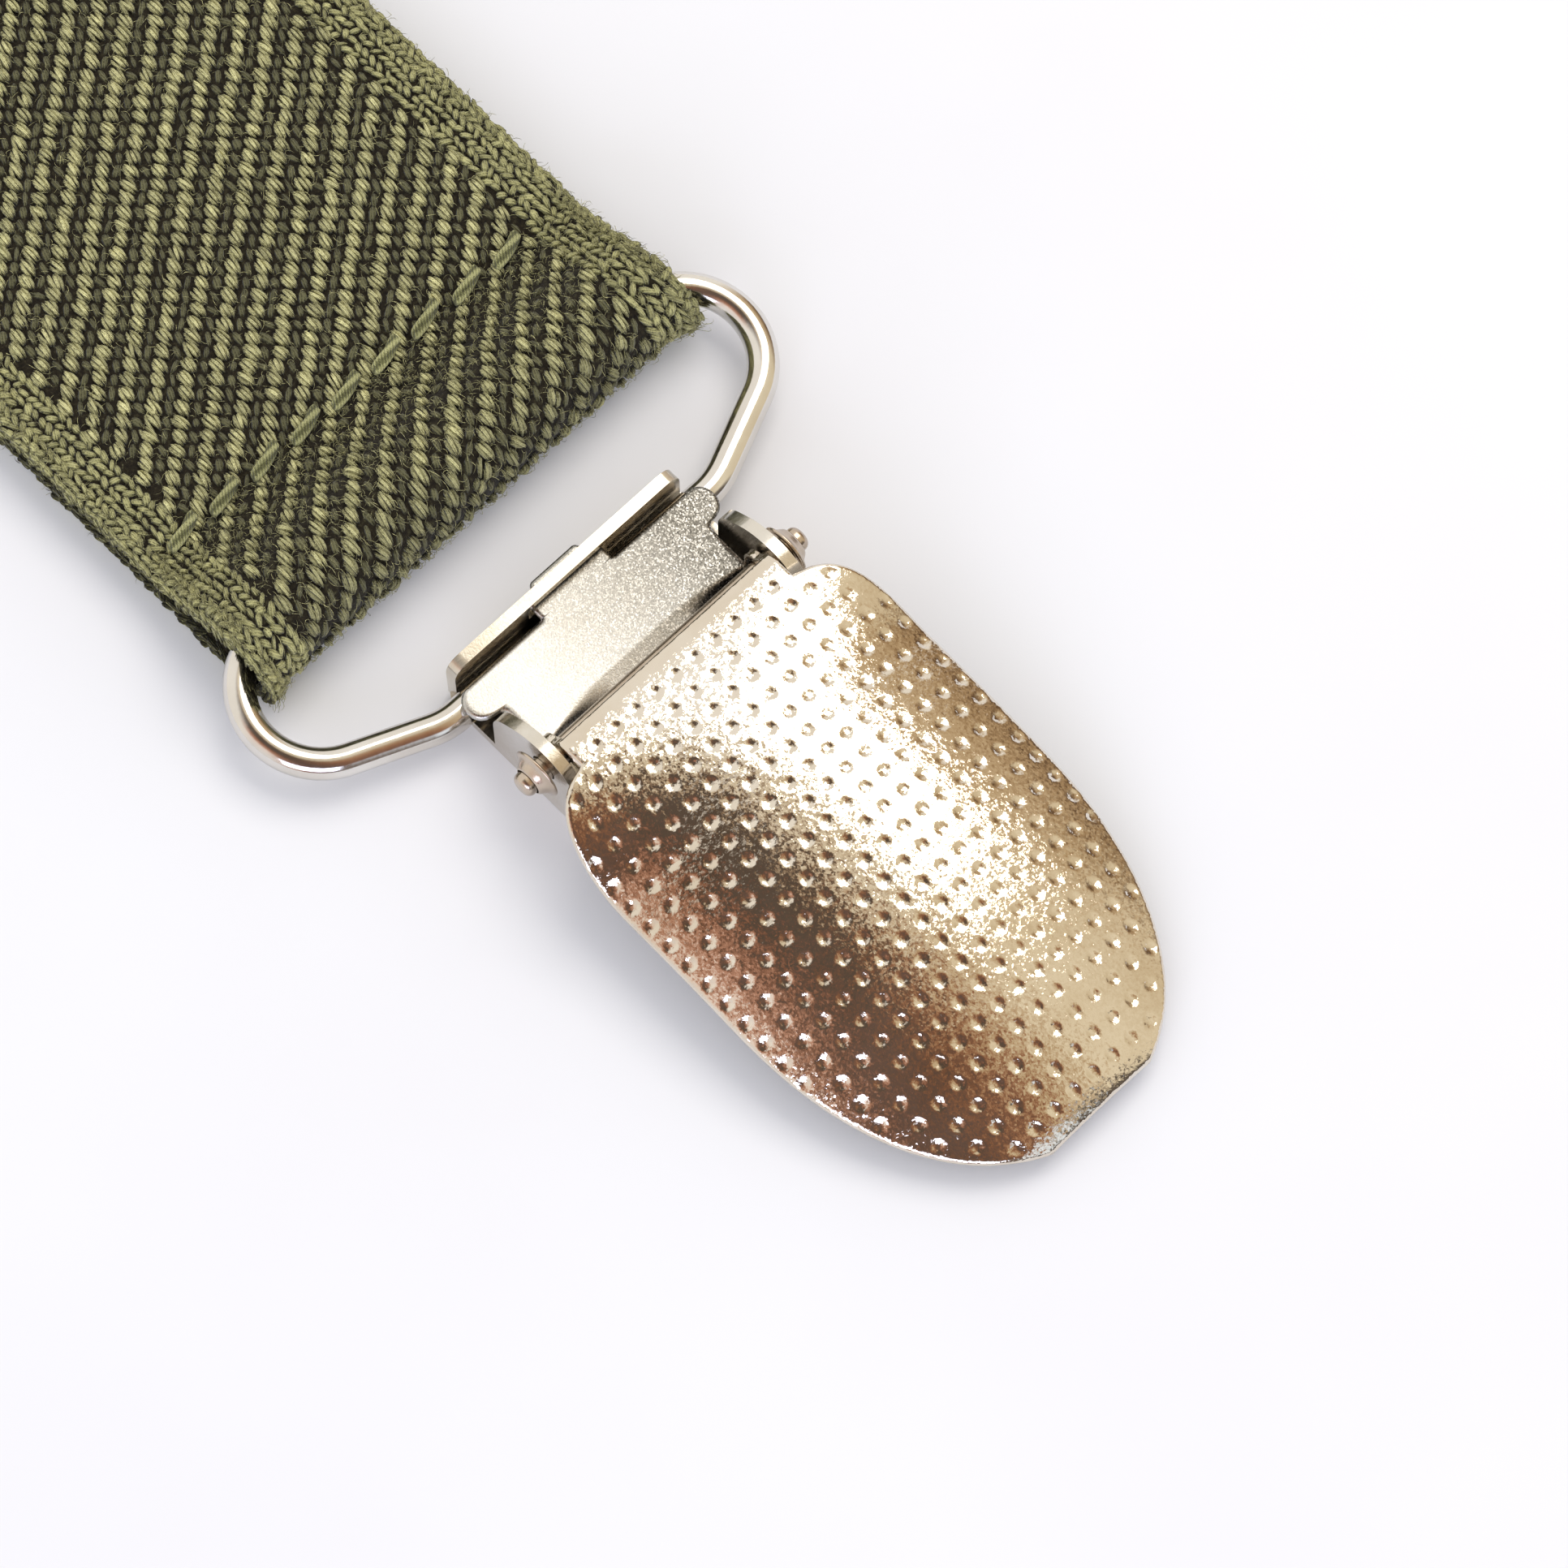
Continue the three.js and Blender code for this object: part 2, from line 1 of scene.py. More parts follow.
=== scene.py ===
# %% [markdown]
# # A clip for a pair of braces, on the folded end of its strap
#
# The clip is pressed from nickel-plated steel sheet. A back plate with two ears holds a hinge
# pin, a lever turns on that pin and presses a front jaw down, and a wire loop behind the pin
# carries the strap. The CAD frame fixes every size and every joint; this script adds the
# surfaces, the weave and the light. Sizes are written in millimetres and turned to metres once.

# %% Load the frame
import math

import bmesh
import bpy
import numpy as np
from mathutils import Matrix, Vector


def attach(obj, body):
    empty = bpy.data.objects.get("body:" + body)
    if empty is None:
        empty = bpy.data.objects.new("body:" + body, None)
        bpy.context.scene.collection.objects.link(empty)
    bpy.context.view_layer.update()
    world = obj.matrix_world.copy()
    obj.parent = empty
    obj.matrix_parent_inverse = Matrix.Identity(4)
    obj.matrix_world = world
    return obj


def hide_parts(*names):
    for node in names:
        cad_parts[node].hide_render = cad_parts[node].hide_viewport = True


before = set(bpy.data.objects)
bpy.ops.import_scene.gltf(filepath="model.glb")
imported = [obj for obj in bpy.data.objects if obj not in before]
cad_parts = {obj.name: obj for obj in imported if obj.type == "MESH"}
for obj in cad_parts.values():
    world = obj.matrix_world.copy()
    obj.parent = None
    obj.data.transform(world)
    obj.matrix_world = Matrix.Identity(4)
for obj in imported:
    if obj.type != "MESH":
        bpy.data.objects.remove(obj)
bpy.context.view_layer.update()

MM = 0.001

# %% [markdown]
# ## The camera
#
# Small metal goods are shot from above with a long lens, so that near and far parts keep the
# same scale. The lens follows from the distance and from how wide a strip the view takes in.

# %% Camera
VIEW_AZIMUTH = -44.2
VIEW_ELEVATION = 70
VIEW_DISTANCE = 0.40
VIEW_WIDTH = 0.092
SENSOR = 36
VIEW_CENTRE = Vector((0.1, -10.2, 4.0)) * MM


def towards(azimuth, elevation):
    """The unit vector from the object to a place round it: azimuth 0 is at -Y, 90 at +X."""
    a, e = math.radians(azimuth), math.radians(elevation)
    return Vector((math.sin(a) * math.cos(e), -math.cos(a) * math.cos(e), math.sin(e)))


def aim(thing, place, target):
    """Puts a camera or a light at a place facing the target. Both look along their own -Z."""
    thing.location = place
    thing.rotation_euler = (place - target).to_track_quat("Z", "Y").to_euler()
    bpy.context.scene.collection.objects.link(thing)


camera = bpy.data.objects.new("camera", bpy.data.cameras.new("camera"))
camera.data.sensor_width = SENSOR
camera.data.lens = SENSOR * VIEW_DISTANCE / VIEW_WIDTH
camera.data.clip_start = 0.01
aim(camera, VIEW_CENTRE + towards(VIEW_AZIMUTH, VIEW_ELEVATION) * VIEW_DISTANCE, VIEW_CENTRE)
bpy.context.scene.camera = camera
bpy.context.scene.view_settings.view_transform = "Standard"
print("lens", round(camera.data.lens), "mm")

# %% [markdown]
# ## Colours and nodes
#
# Colours are given as sRGB hex values, and the renderer works in linear light, so one
# function turns the first into the second. One function adds a node, sets its sockets and
# links the ones that are given another node's output.

# %% Colour and node helpers
def colour(hex_value):
    """sRGB hex to linear RGBA: below 0.04045 a share of 1/12.92, above it a power of 2.4."""
    shares = [int(hex_value[i:i + 2], 16) / 255 for i in (1, 3, 5)]
    return [c / 12.92 if c <= 0.04045 else ((c + 0.055) / 1.055) ** 2.4 for c in shares] + [1]


def add(tree, kind, inputs=(), **settings):
    """Adds one node. inputs pairs a socket with a value, or with the output it is linked to."""
    node = tree.nodes.new(kind)
    for name, value in settings.items():
        setattr(node, name, value)
    for socket, value in dict(inputs).items():
        if isinstance(value, bpy.types.NodeSocket):
            tree.links.new(value, node.inputs[socket])
        else:
            node.inputs[socket].default_value = value
    return node


def ramp(tree, factor, stops, interpolation="LINEAR"):
    """A colour ramp from (position, hex colour) stops."""
    node = add(tree, "ShaderNodeValToRGB", {"Fac": factor})
    node.color_ramp.interpolation = interpolation
    elements = node.color_ramp.elements
    for _ in stops[2:]:
        elements.new(0.5)
    for element, (position, hex_value) in zip(elements, stops):
        element.position = position
        element.color = colour(hex_value)
    return node.outputs["Color"]


def material(name):
    """A new node material with only its output, and that output node."""
    made = bpy.data.materials.new(name)
    made.use_nodes = True
    made.node_tree.nodes.clear()
    return made, made.node_tree, add(made.node_tree, "ShaderNodeOutputMaterial")


# %% [markdown]
# ## The studio
#
# Polished nickel shows what stands round it, so the studio is half of its colour: a broad white
# softbox above the right side, and a warm room with a dark gap to the left of it. The room is
# the world's colour by direction: left to right in a ramp, and front to back in four steps from
# ramp to ramp. Only glossy rays see it, so the floor and the cloth are lit by a neutral sky and
# the backdrop stays pale. The low fill is cool, which keeps the shadows a little blue.

# %% World and lights
world = bpy.data.worlds.new("studio room")
bpy.context.scene.world = world
world.use_nodes = True
room = world.node_tree
room.nodes.clear()
heading = add(room, "ShaderNodeSeparateXYZ",
              {0: add(room, "ShaderNodeTexCoord").outputs["Generated"]})
rightness = add(room, "ShaderNodeMapRange", {0: heading.outputs["X"], 1: -1.0, 2: 1.0})
middle_walls = ramp(room, rightness.outputs[0], [
    (0.00, "#dddad8"), (0.10, "#e6d5cb"), (0.16, "#b98c76"), (0.25, "#7d5846"),
    (0.31, "#584b42"), (0.43, "#584c42"), (0.475, "#8e7761"), (0.53, "#d2c5ae"),
    (0.62, "#d8cdb8"), (0.80, "#cfbd9f"), (0.92, "#bda684"), (0.97, "#a08564"),
    (1.00, "#5c4634")])
front_walls = ramp(room, rightness.outputs[0], [
    (0.00, "#d8cfca"), (0.06, "#b08b76"), (0.13, "#7a5645"), (0.28, "#5e4d45"),
    (0.42, "#7e5944"), (0.48, "#9d7458"), (0.56, "#bda685"), (0.70, "#e2d6bd"),
    (0.92, "#cfbfa2"), (1.00, "#5a4433")])
lip_glow = ramp(room, rightness.outputs[0], [
    (0.36, "#6d5f55"), (0.42, "#eef5ff"), (0.52, "#dfe9f4"), (0.60, "#5f564e")])


def beyond(first, last, inside, outside):
    """The room's colour turns from inside to outside as the heading's Y goes first to last."""
    share = add(room, "ShaderNodeMapRange", {0: heading.outputs["Y"], 1: first, 2: last})
    return add(room, "ShaderNodeMix", {"Factor": share.outputs[0], 6: inside, 7: outside},
               data_type="RGBA").outputs[2]


walls = beyond(0.20, 0.42, middle_walls, colour("#e9e4dc"))
walls = beyond(-0.06, -0.34, walls, front_walls)
walls = beyond(-0.78, -0.88, walls, lip_glow)
seen_in_metal = beyond(-0.955, -0.99, walls, colour("#3c2a20"))
rays = add(room, "ShaderNodeLightPath")
sky = add(room, "ShaderNodeBackground", {"Color": colour("#f5f6fa"), "Strength": 0.78})
backdrop = add(room, "ShaderNodeBackground", {"Color": colour("#fbfbfc"), "Strength": 1.0})
mirror = add(room, "ShaderNodeBackground", {"Color": seen_in_metal, "Strength": 1.3})
lit = add(room, "ShaderNodeMixShader", {
    0: rays.outputs["Is Glossy Ray"], 1: sky.outputs[0], 2: mirror.outputs[0]})
shown = add(room, "ShaderNodeMixShader", {
    0: rays.outputs["Is Camera Ray"], 1: lit.outputs[0], 2: backdrop.outputs[0]})
add(room, "ShaderNodeOutputWorld", {"Surface": shown.outputs[0]})


def softbox(name, away, size, size_y, watts, tint):
    """A rectangular soft light, away from the object in metres, facing it."""
    light = bpy.data.lights.new(name, "AREA")
    light.shape = "RECTANGLE"
    light.size, light.size_y = size, size_y
    light.energy = watts
    light.color = colour(tint)[:3]
    aim(bpy.data.objects.new(name, light), VIEW_CENTRE + Vector(away), VIEW_CENTRE)


softbox("key_softbox", (0.290, 0.070, 0.520), 0.42, 0.36, 1.35, "#fffaf4")
softbox("low_fill", (-0.45, -0.35, 0.25), 0.5, 0.3, 1.6, "#dfe6ff")

# %% [markdown]
# ## The floor
#
# A sheet of matt white card. It is a stage piece, so it isn't part of the object. Its paper
# grain is far too fine to see from here, and only a faint unevenness is left in it.

# %% Floor
FLOOR_REACH = 1.5
FLOOR_Z = -0.02 * MM

card, tree, out = material("matt white card")
coords = add(tree, "ShaderNodeTexCoord").outputs["Object"]
cloudy = add(tree, "ShaderNodeTexNoise", {"Vector": coords, "Scale": 25, "Detail": 3})
card_bsdf = add(tree, "ShaderNodeBsdfPrincipled", {
    "Base Color": ramp(tree, cloudy.outputs[0], [(0.3, "#f1efef"), (0.7, "#f4f3f3")]),
    "Roughness": 0.75, "Specular IOR Level": 0.2})
tree.links.new(card_bsdf.outputs[0], out.inputs[0])

floor_mesh = bpy.data.meshes.new("floor")
floor_mesh.from_pydata([(x * FLOOR_REACH, y * FLOOR_REACH, FLOOR_Z) for x, y in (
    (-1, -1), (1, -1), (1, 1), (-1, 1))], [], [(0, 1, 2, 3)])
floor_mesh.materials.append(card)
floor = bpy.data.objects.new("floor", floor_mesh)
bpy.context.scene.collection.objects.link(floor)
print("floor", FLOOR_REACH * 2, "m wide")

# %% [markdown]
# ## Shared shape tools
#
# Most pieces are surfaces worked out as whole arrays: a grid of points in two parameters. A
# sheet has an outer and an inner grid that meet at the rim, where the thickness falls away as
# a half circle, the way a pressed and tumbled edge is rounded.

# %% Grids, welding and pieces
def smoothstep(x, start, end):
    """0 before start, 1 after end, and 3t^2 - 2t^3 between them."""
    t = np.clip((x - start) / (end - start), 0, 1)
    return t * t * (3 - 2 * t)


def quads(rows, columns, round_rows=False, round_columns=False):
    """Faces between neighbours of a rows by columns grid; a round direction joins its ends."""
    r = np.arange(rows if round_rows else rows - 1)[:, None]
    c = np.arange(columns if round_columns else columns - 1)[None, :]
    below, beside = (r + 1) % rows, (c + 1) % columns
    corners = [r * columns + c, r * columns + beside, below * columns + beside, below * columns + c]
    return np.stack(corners, -1).reshape(-1, 4)


def repeated(rings, sides, count):
    """Faces of many small tubes alike, whose points follow each other in one array."""
    one = quads(rings, sides, False, True)
    return (one[None] + np.arange(count)[:, None, None] * rings * sides).reshape(-1, 4)


def zipped(many, few):
    """Triangles between a row of many vertices and a row of few: each step of the long row
    takes the nearest vertex of the short one, each step of the short row the place of change."""
    share = (len(few) - 1) / (len(many) - 1)
    near = np.rint((np.arange(len(many) - 1) + 0.5) * share).astype(int)
    change = np.searchsorted(near, np.arange(1, len(few)))
    return np.vstack([np.stack([many[:-1], many[1:], few[near]], -1),
                      np.stack([few[1:], few[:-1], many[change]], -1)])


def two_sided(outer, inner):
    """Points and faces of a closed sheet from its outer grid (rows, columns, 3) and its inner
    grid, which may have fewer columns and meets the outer one all round the rim."""
    rows, columns = outer.shape[:2]
    few = inner.shape[1]
    inside = rows * columns + np.arange((rows - 2) * few).reshape(rows - 2, few)
    face = quads(rows, columns).tolist()
    face += (quads(rows - 2, few)[:, ::-1] + rows * columns).tolist()
    face += zipped(np.arange(columns), inside[0]).tolist()
    face += zipped(np.arange(columns) + (rows - 1) * columns, inside[-1]).tolist()
    return np.vstack([outer.reshape(-1, 3), inner[1:-1].reshape(-1, 3)]), face


def joined(parts):
    """Several (points, faces) as one."""
    points, faces, first = [], [], 0
    for p, f in parts:
        points.append(p)
        faces += [[i + first for i in face] for face in f]
        first += len(p)
    return np.vstack(points), faces


def piece(name, points, faces, finish, body, slot, *nodes, sharp=180, marks=()):
    """A welded, outward, smooth mesh object from points in millimetres, riding on its body.
    marks are per-point numbers for its material, stored before the weld."""
    mesh = bpy.data.meshes.new(name)
    mesh.from_pydata((np.asarray(points) * MM).tolist(), [], [list(f) for f in faces])
    for mark, values in dict(marks).items():
        layer = mesh.attributes.new(mark, "FLOAT", "POINT")
        layer.data.foreach_set("value", np.asarray(values, np.float32).ravel())
    shape = bmesh.new()
    shape.from_mesh(mesh)
    bmesh.ops.remove_doubles(shape, verts=shape.verts, dist=2e-7)
    bmesh.ops.dissolve_degenerate(shape, edges=shape.edges, dist=1e-8)
    bmesh.ops.recalc_face_normals(shape, faces=shape.faces)
    if shape.calc_volume(signed=True) < 0:
        bmesh.ops.reverse_faces(shape, faces=shape.faces)
    open_edges = sum(not edge.is_manifold for edge in shape.edges)
    shape.to_mesh(mesh)
    shape.free()
    mesh.shade_smooth()
    if sharp < 180:
        mesh.set_sharp_from_angle(angle=math.radians(sharp))
    return placed(name, mesh, finish, body, slot, *nodes, note=f"open edges {open_edges}")


def placed(name, mesh, finish, body, slot, *nodes, note=""):
    """Makes the object of a finished mesh and names its body and replaced nodes; slot is not used.
    """
    mesh.materials.clear()
    mesh.materials.append(finish)
    thing = bpy.data.objects.new(name, mesh)
    bpy.context.scene.collection.objects.link(thing)
    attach(thing, body)
    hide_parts(*nodes)
    mesh.calc_loop_triangles()
    print(name, len(mesh.loop_triangles), "triangles", note)
    return thing


# %% [markdown]
# ## Nickel plate
#
# The steel is plated with nickel, a warm grey-white metal. Where the sheet was polished first
# it mirrors softly, with the slight orange-peel of plating over pressed steel, and its crystals
# break the edge of a reflection up into specks. Where it was tumbled with grit it is satin, with
# a fine sparkle that is painted into its colour as grey and white cells, which also paint it
# darker towards the right as shade. All have faint yellow-brown tarnish. One recipe serves them:
# slow noise for tarnish, fast noise for roughness and bump, and cells for the painted sparkle
# and for crystals. The real crystals are far finer; they are drawn 0.14 mm wide so that they show.

# %% Nickel materials
TARNISH_PATCH = 7
CRYSTAL = 0.14


def nickel(name, tint, tarnish, smooth, rough, grain_mm, grain_height_mm, sparkle_mm=0.0,
           crystal_tilt=0.0):
    """Plated metal: tarnish patches of a few millimetres, and a grain of the given size. With a
    sparkle, cells of that size differ in tone as painted glints, and they darken the colour as
    painted shade towards the right, little at the left. With a crystal tilt,
    each cell's normal is the bump's plus the tilt times (a random colour - 0.5)."""
    made, tree, out = material(name)
    coords = add(tree, "ShaderNodeTexCoord").outputs["Object"]
    patch = add(tree, "ShaderNodeTexNoise", {
        "Vector": coords, "Scale": 1 / (TARNISH_PATCH * MM), "Detail": 4, "Roughness": 0.6})
    grain = add(tree, "ShaderNodeTexNoise",
                {"Vector": coords, "Scale": 1 / (grain_mm * MM), "Detail": 3, "Roughness": 0.55})
    tone = ramp(tree, patch.outputs[0], [(0.35, tint), (0.72, tarnish)])
    gloss = add(tree, "ShaderNodeMapRange",
                {0: grain.outputs[0], 1: 0.3, 2: 0.7, 3: smooth, 4: rough})
    if sparkle_mm:
        # Painted glints: cells of grey to white tone multiply the colour.
        painted_glint_cells = add(tree, "ShaderNodeTexVoronoi",
                    {"Vector": coords, "Scale": 1 / (sparkle_mm * MM)})
        facet = ramp(tree, painted_glint_cells.outputs["Color"], [
            (0.1, "#605f5c"), (0.6, "#93918c"), (0.9, "#ffffff")])
        # Painted shade: the cells' share grows from the left to the right, so the right is darker
        # and greyer.
        across = add(tree, "ShaderNodeSeparateXYZ", {0: coords}).outputs["X"]
        matt = add(tree, "ShaderNodeMapRange",
                   {0: across, 1: -6 * MM, 2: 7 * MM, 3: 0.12, 4: 1.0})
        tone = add(tree, "ShaderNodeMix", {"Factor": matt.outputs[0], 6: tone, 7: facet},
                   data_type="RGBA", blend_type="MULTIPLY").outputs[2]
    bump = add(tree, "ShaderNodeBump",
               {"Height": grain.outputs[0], "Strength": 1.0, "Distance": grain_height_mm * MM})
    normal = bump.outputs[0]
    if crystal_tilt:
        cell = add(tree, "ShaderNodeTexVoronoi", {"Vector": coords, "Scale": 1 / (CRYSTAL * MM)})
        lean = add(tree, "ShaderNodeVectorMath", {0: cell.outputs["Color"], 1: (0.5, 0.5, 0.5)},
                   operation="SUBTRACT").outputs[0]
        leaning = add(tree, "ShaderNodeVectorMath", {0: lean, 1: (crystal_tilt,) * 3, 2: normal},
                      operation="MULTIPLY_ADD").outputs[0]
        normal = add(tree, "ShaderNodeVectorMath", {0: leaning}, operation="NORMALIZE").outputs[0]
    bsdf = add(tree, "ShaderNodeBsdfPrincipled", {
        "Base Color": tone, "Metallic": 1.0, "Roughness": gloss.outputs[0], "Normal": normal})
    tree.links.new(bsdf.outputs[0], out.inputs[0])
    return made


BRIGHT_NICKEL = nickel("bright nickel plate", "#e2dbd0", "#d2c6b4", 0.05, 0.11, 0.55, 0.034,
                       crystal_tilt=0.125)
# The satin plate's sparkle is painted glints, and its darkening towards the right is painted shade.
SATIN_NICKEL = nickel("satin nickel plate", "#cecdca", "#c2c0ba", 0.20, 0.34, 0.12, 0.008, 0.085)
PLATE_NICKEL = nickel("tumbled nickel plate", "#dcd8d0", "#c0b49e", 0.14, 0.26, 0.20, 0.005)
WIRE_NICKEL = nickel("drawn nickel wire", "#e0ddd8", "#cfc9c0", 0.10, 0.16, 0.45, 0.003)
PIN_STEEL = nickel("turned plated steel", "#cfc3b4", "#a89684", 0.16, 0.28, 0.18, 0.004)
print("nickel finishes", [m.name for m in bpy.data.materials if "nickel" in m.name])

# %% [markdown]
# ## The lever cover
#
# The lever is one pressing: a flat neck over the pin, shoulders, a domed leaf and a tip that
# turns down. The whole sheet has a square lattice of small round dimples, which gives the
# thumb a grip. It could be a subdivision cage with a dimple array, but the leaf is a plain
# formula, its half width and its height over the pin, so a dense grid of that formula with the
# dimples pressed into it is exact and even. Below it hang two cheeks with the cams.

# %% Lever shape
PIN_Z = 5.3
NECK_HALF = 8.6
LEVER_HALF = 12.7
LEVER_LENGTH = 36.9
LEVER_SHEET = 0.6
SHOULDER_START, SHOULDER_END = 2.3, 11.0
TAPER_START, TAPER_SPAN, TAPER_POWER = 19.0, 18.6, 2.2
LEVER_RISE, TIP_DROP, CREST = 2.65, 5.6, 8.0
DOME_RADIUS = 24.0


def lever_half_width(s):
    """The neck's half width, then a shoulder that rises as the square root of 1 - (1 - t)^3,
    then the full width, then a superellipse of power 2.2 down to the tip."""
    t = np.clip((s - SHOULDER_START) / (SHOULDER_END - SHOULDER_START), 0, 1)
    shoulder = NECK_HALF + (LEVER_HALF - NECK_HALF) * np.sqrt(1 - (1 - t) ** 3)
    u = np.clip((s - TAPER_START) / TAPER_SPAN, 0, 1)
    return np.where(s < TAPER_START, shoulder,
                    LEVER_HALF * (1 - u ** TAPER_POWER) ** (1 / TAPER_POWER))


def lever_top(x, s):
    """Pin height and rise, plus a parabola along, less a circular dome across that grows from
    s = 1 to s = 10, less a rolled rear edge, less a lip turned down over the last 2 mm."""
    fall = TIP_DROP / (LEVER_LENGTH * (LEVER_LENGTH - 2 * CREST))
    dome = smoothstep(s, 1, 10) * (DOME_RADIUS - np.sqrt(DOME_RADIUS ** 2 - x * x))
    roll = 0.3 * np.maximum(0, 1 - s) ** 2
    lip = 0.45 * np.maximum(0, (s - LEVER_LENGTH + 2) / 2) ** 2
    return PIN_Z + LEVER_RISE + fall * s * (2 * CREST - s) - dome - roll - lip


DIMPLE_PITCH = 1.58
DIMPLE_RADIUS = 0.43
DIMPLE_DEPTH = 0.096
DIMPLE_RIM, DIMPLE_RIM_WIDTH = 0.008, 0.07
FIRST_ROW = 2.0


def dimples(x, s):
    """Depth below the smooth sheet: at each lattice place a bowl, a parabola 1 - (r/R)^2, with
    a low raised rim, a Gaussian round its edge. None at the rear margin or at the very edge."""
    column = np.rint(x / DIMPLE_PITCH - 0.5) + 0.5
    row = np.maximum(0, np.rint((s - FIRST_ROW) / DIMPLE_PITCH))
    at_x, at_s = column * DIMPLE_PITCH, FIRST_ROW + row * DIMPLE_PITCH
    r = np.hypot(x - at_x, s - at_s)
    bowl = DIMPLE_DEPTH * np.clip(1 - (r / DIMPLE_RADIUS) ** 2, 0, 1)
    rim = DIMPLE_RIM * np.exp(-((r - DIMPLE_RADIUS * 1.08) / DIMPLE_RIM_WIDTH) ** 2)
    keep = (lever_half_width(at_s) - np.abs(at_x) > 0.35) & (at_s < LEVER_LENGTH - 0.5)
    return (bowl - rim) * keep


print("lever", round(float(lever_half_width(np.array(15.0)) * 2), 1), "x", LEVER_LENGTH, "mm")

# %% Sheet metal with rounded rims
RIM_TURN = np.radians([0, 20, 42, 66, 90])


def sheet_metal(half_width, top, stations, columns, thickness, relief=None, rim_distance=None):
    """The outer grid of a pressed sheet. Columns are spread over the half width at each station
    s (y = -s), and the last four on each side step round the rim. A point lies on the middle
    surface, plus or minus the half thickness along the normal; near the rim, at a distance e,
    the half thickness is the height of a circle of that radius at e."""
    radius = thickness / 2
    step = 1e-3
    slope = (half_width(stations + step) - half_width(stations - step)) / (2 * step)
    slant = np.minimum(np.sqrt(1 + slope ** 2), 3.0)[:, None]
    half = half_width(stations)[:, None]
    steps = radius * (1 - np.cos(RIM_TURN))[None, :-1] * slant
    left = -half + steps

    def side(count, sign):
        x = np.hstack([left, np.linspace(-1, 1, count) * (half - radius * slant), -left[:, ::-1]])
        s = np.repeat(stations[:, None], x.shape[1], 1)
        dx = (top(x + step, s) - top(x - step, s)) / (2 * step)
        ds = (top(x, s + step) - top(x, s - step)) / (2 * step)
        normal = np.stack([-dx, ds, np.ones_like(dx)], -1)
        normal /= np.linalg.norm(normal, axis=-1, keepdims=True)
        edge = (half - np.abs(x)) / slant
        edge = np.minimum(edge, np.minimum(s - stations[0], stations[-1] - s))
        if rim_distance is not None:
            edge = np.minimum(edge, rim_distance(x, s))
        near = 1 - np.clip(edge, 0, radius) / radius
        height = radius * np.sqrt(1 - near ** 2)
        lift = sign * height - radius
        if relief is not None:
            lift = lift - relief(x, s) * height / radius * (1 if sign > 0 else 0.6)
        return np.stack([x, -s, top(x, s)], -1) + normal * lift[..., None]

    return side(columns[0], 1), side(columns[1], -1)


def rim_to_rim(start, end, count, radius):
    """Stations from start to end, with the steps of a rounded rim at both ends."""
    steps = radius * (1 - np.cos(RIM_TURN))[:-1]
    return np.hstack([start + steps, np.linspace(start + radius, end - radius, count),
                      (end - steps)[::-1]])


LEAF_STATIONS, LEAF_COLUMNS = 268, (190, 114)

leaf = two_sided(*sheet_metal(
    lever_half_width, lever_top, rim_to_rim(0, LEVER_LENGTH, LEAF_STATIONS, LEVER_SHEET / 2),
    LEAF_COLUMNS, LEVER_SHEET, relief=dimples))
print("leaf", len(leaf[0]), "points")

# %% Cheeks with cams
CAM_REACH, CAM_HEEL = 2.35, 1.4
CAM_FALL = math.radians(75)
CHEEK_LENGTH = 6.5
PIN_HOLE = 0.9


def cheek_outline():
    """The cheek seen from the side, about the pin: under the neck, down to the lobe, and round
    the cam, whose radius falls from the reach, straight down, to the heel, 75 degrees on."""
    middle = NECK_HALF - LEVER_SHEET / 2
    s = np.linspace(0, CHEEK_LENGTH, 40)
    under = np.stack([-s, lever_top(middle, s) - LEVER_SHEET / 2 - PIN_Z], -1)
    lobe = math.radians(40)
    lobe_tip = np.array([[-CAM_REACH * math.sin(lobe), -CAM_REACH * math.cos(lobe)]])
    turn = np.radians(np.linspace(-40, 160, 60))
    radius = CAM_REACH + (CAM_HEEL - CAM_REACH) * np.clip(turn / CAM_FALL, 0, 1)
    cam = np.stack([radius * np.sin(turn), -radius * np.cos(turn)], -1)
    return np.vstack([under, lobe_tip, cam, under[:1]])


def round_plate(outline, hole, low, high, rim, spokes=96):
    """A plate seen along x with a round hole: its section, a loop with rounded outer corners,
    is carried round the hole, and each spoke ends where it meets the outline."""
    share = np.linspace(0, 1, 30, endpoint=False)[None, :, None]
    dense = (outline[:-1, None] * (1 - share) + outline[1:, None] * share).reshape(-1, 2)
    angle = np.arctan2(dense[:, 1], dense[:, 0])
    order = np.argsort(angle)
    spoke = np.linspace(-math.pi, math.pi, spokes, endpoint=False)
    reach = np.interp(spoke, angle[order], np.hypot(*dense[order].T), period=2 * math.pi)
    turn = np.linspace(0, math.pi / 2, 5)
    section_x = np.hstack([low + 0.05, high - 0.05, high, high - rim * (1 - np.cos(turn)),
                           (low + rim * (1 - np.cos(turn)))[::-1], low])
    out = np.hstack([0, 0, 0, 1 + 0 * turn, 1 + 0 * turn, 0])
    inset = np.hstack([0, 0, 0, rim * (1 - np.sin(turn)), (rim * (1 - np.sin(turn)))[::-1], 0])
    near = np.hstack([hole, hole, hole + 0.05, 0 * turn, 0 * turn, hole + 0.05])
    r = np.where(out[:, None] > 0, reach[None] - inset[:, None], near[:, None])
    x = np.repeat(section_x[:, None], spokes, 1)
    points = np.stack([x, r * np.cos(spoke), r * np.sin(spoke) + PIN_Z], -1)
    return points.reshape(-1, 3), quads(len(section_x), spokes, True, True).tolist()


outline = cheek_outline()
cheeks = [round_plate(outline, PIN_HOLE, low, low + LEVER_SHEET, 0.12)
          for low in (-NECK_HALF, NECK_HALF - LEVER_SHEET)]
piece("lever_leaf", *joined([leaf] + cheeks), BRIGHT_NICKEL,
      "lever", "nickel_bright", "lever_cover", sharp=50)

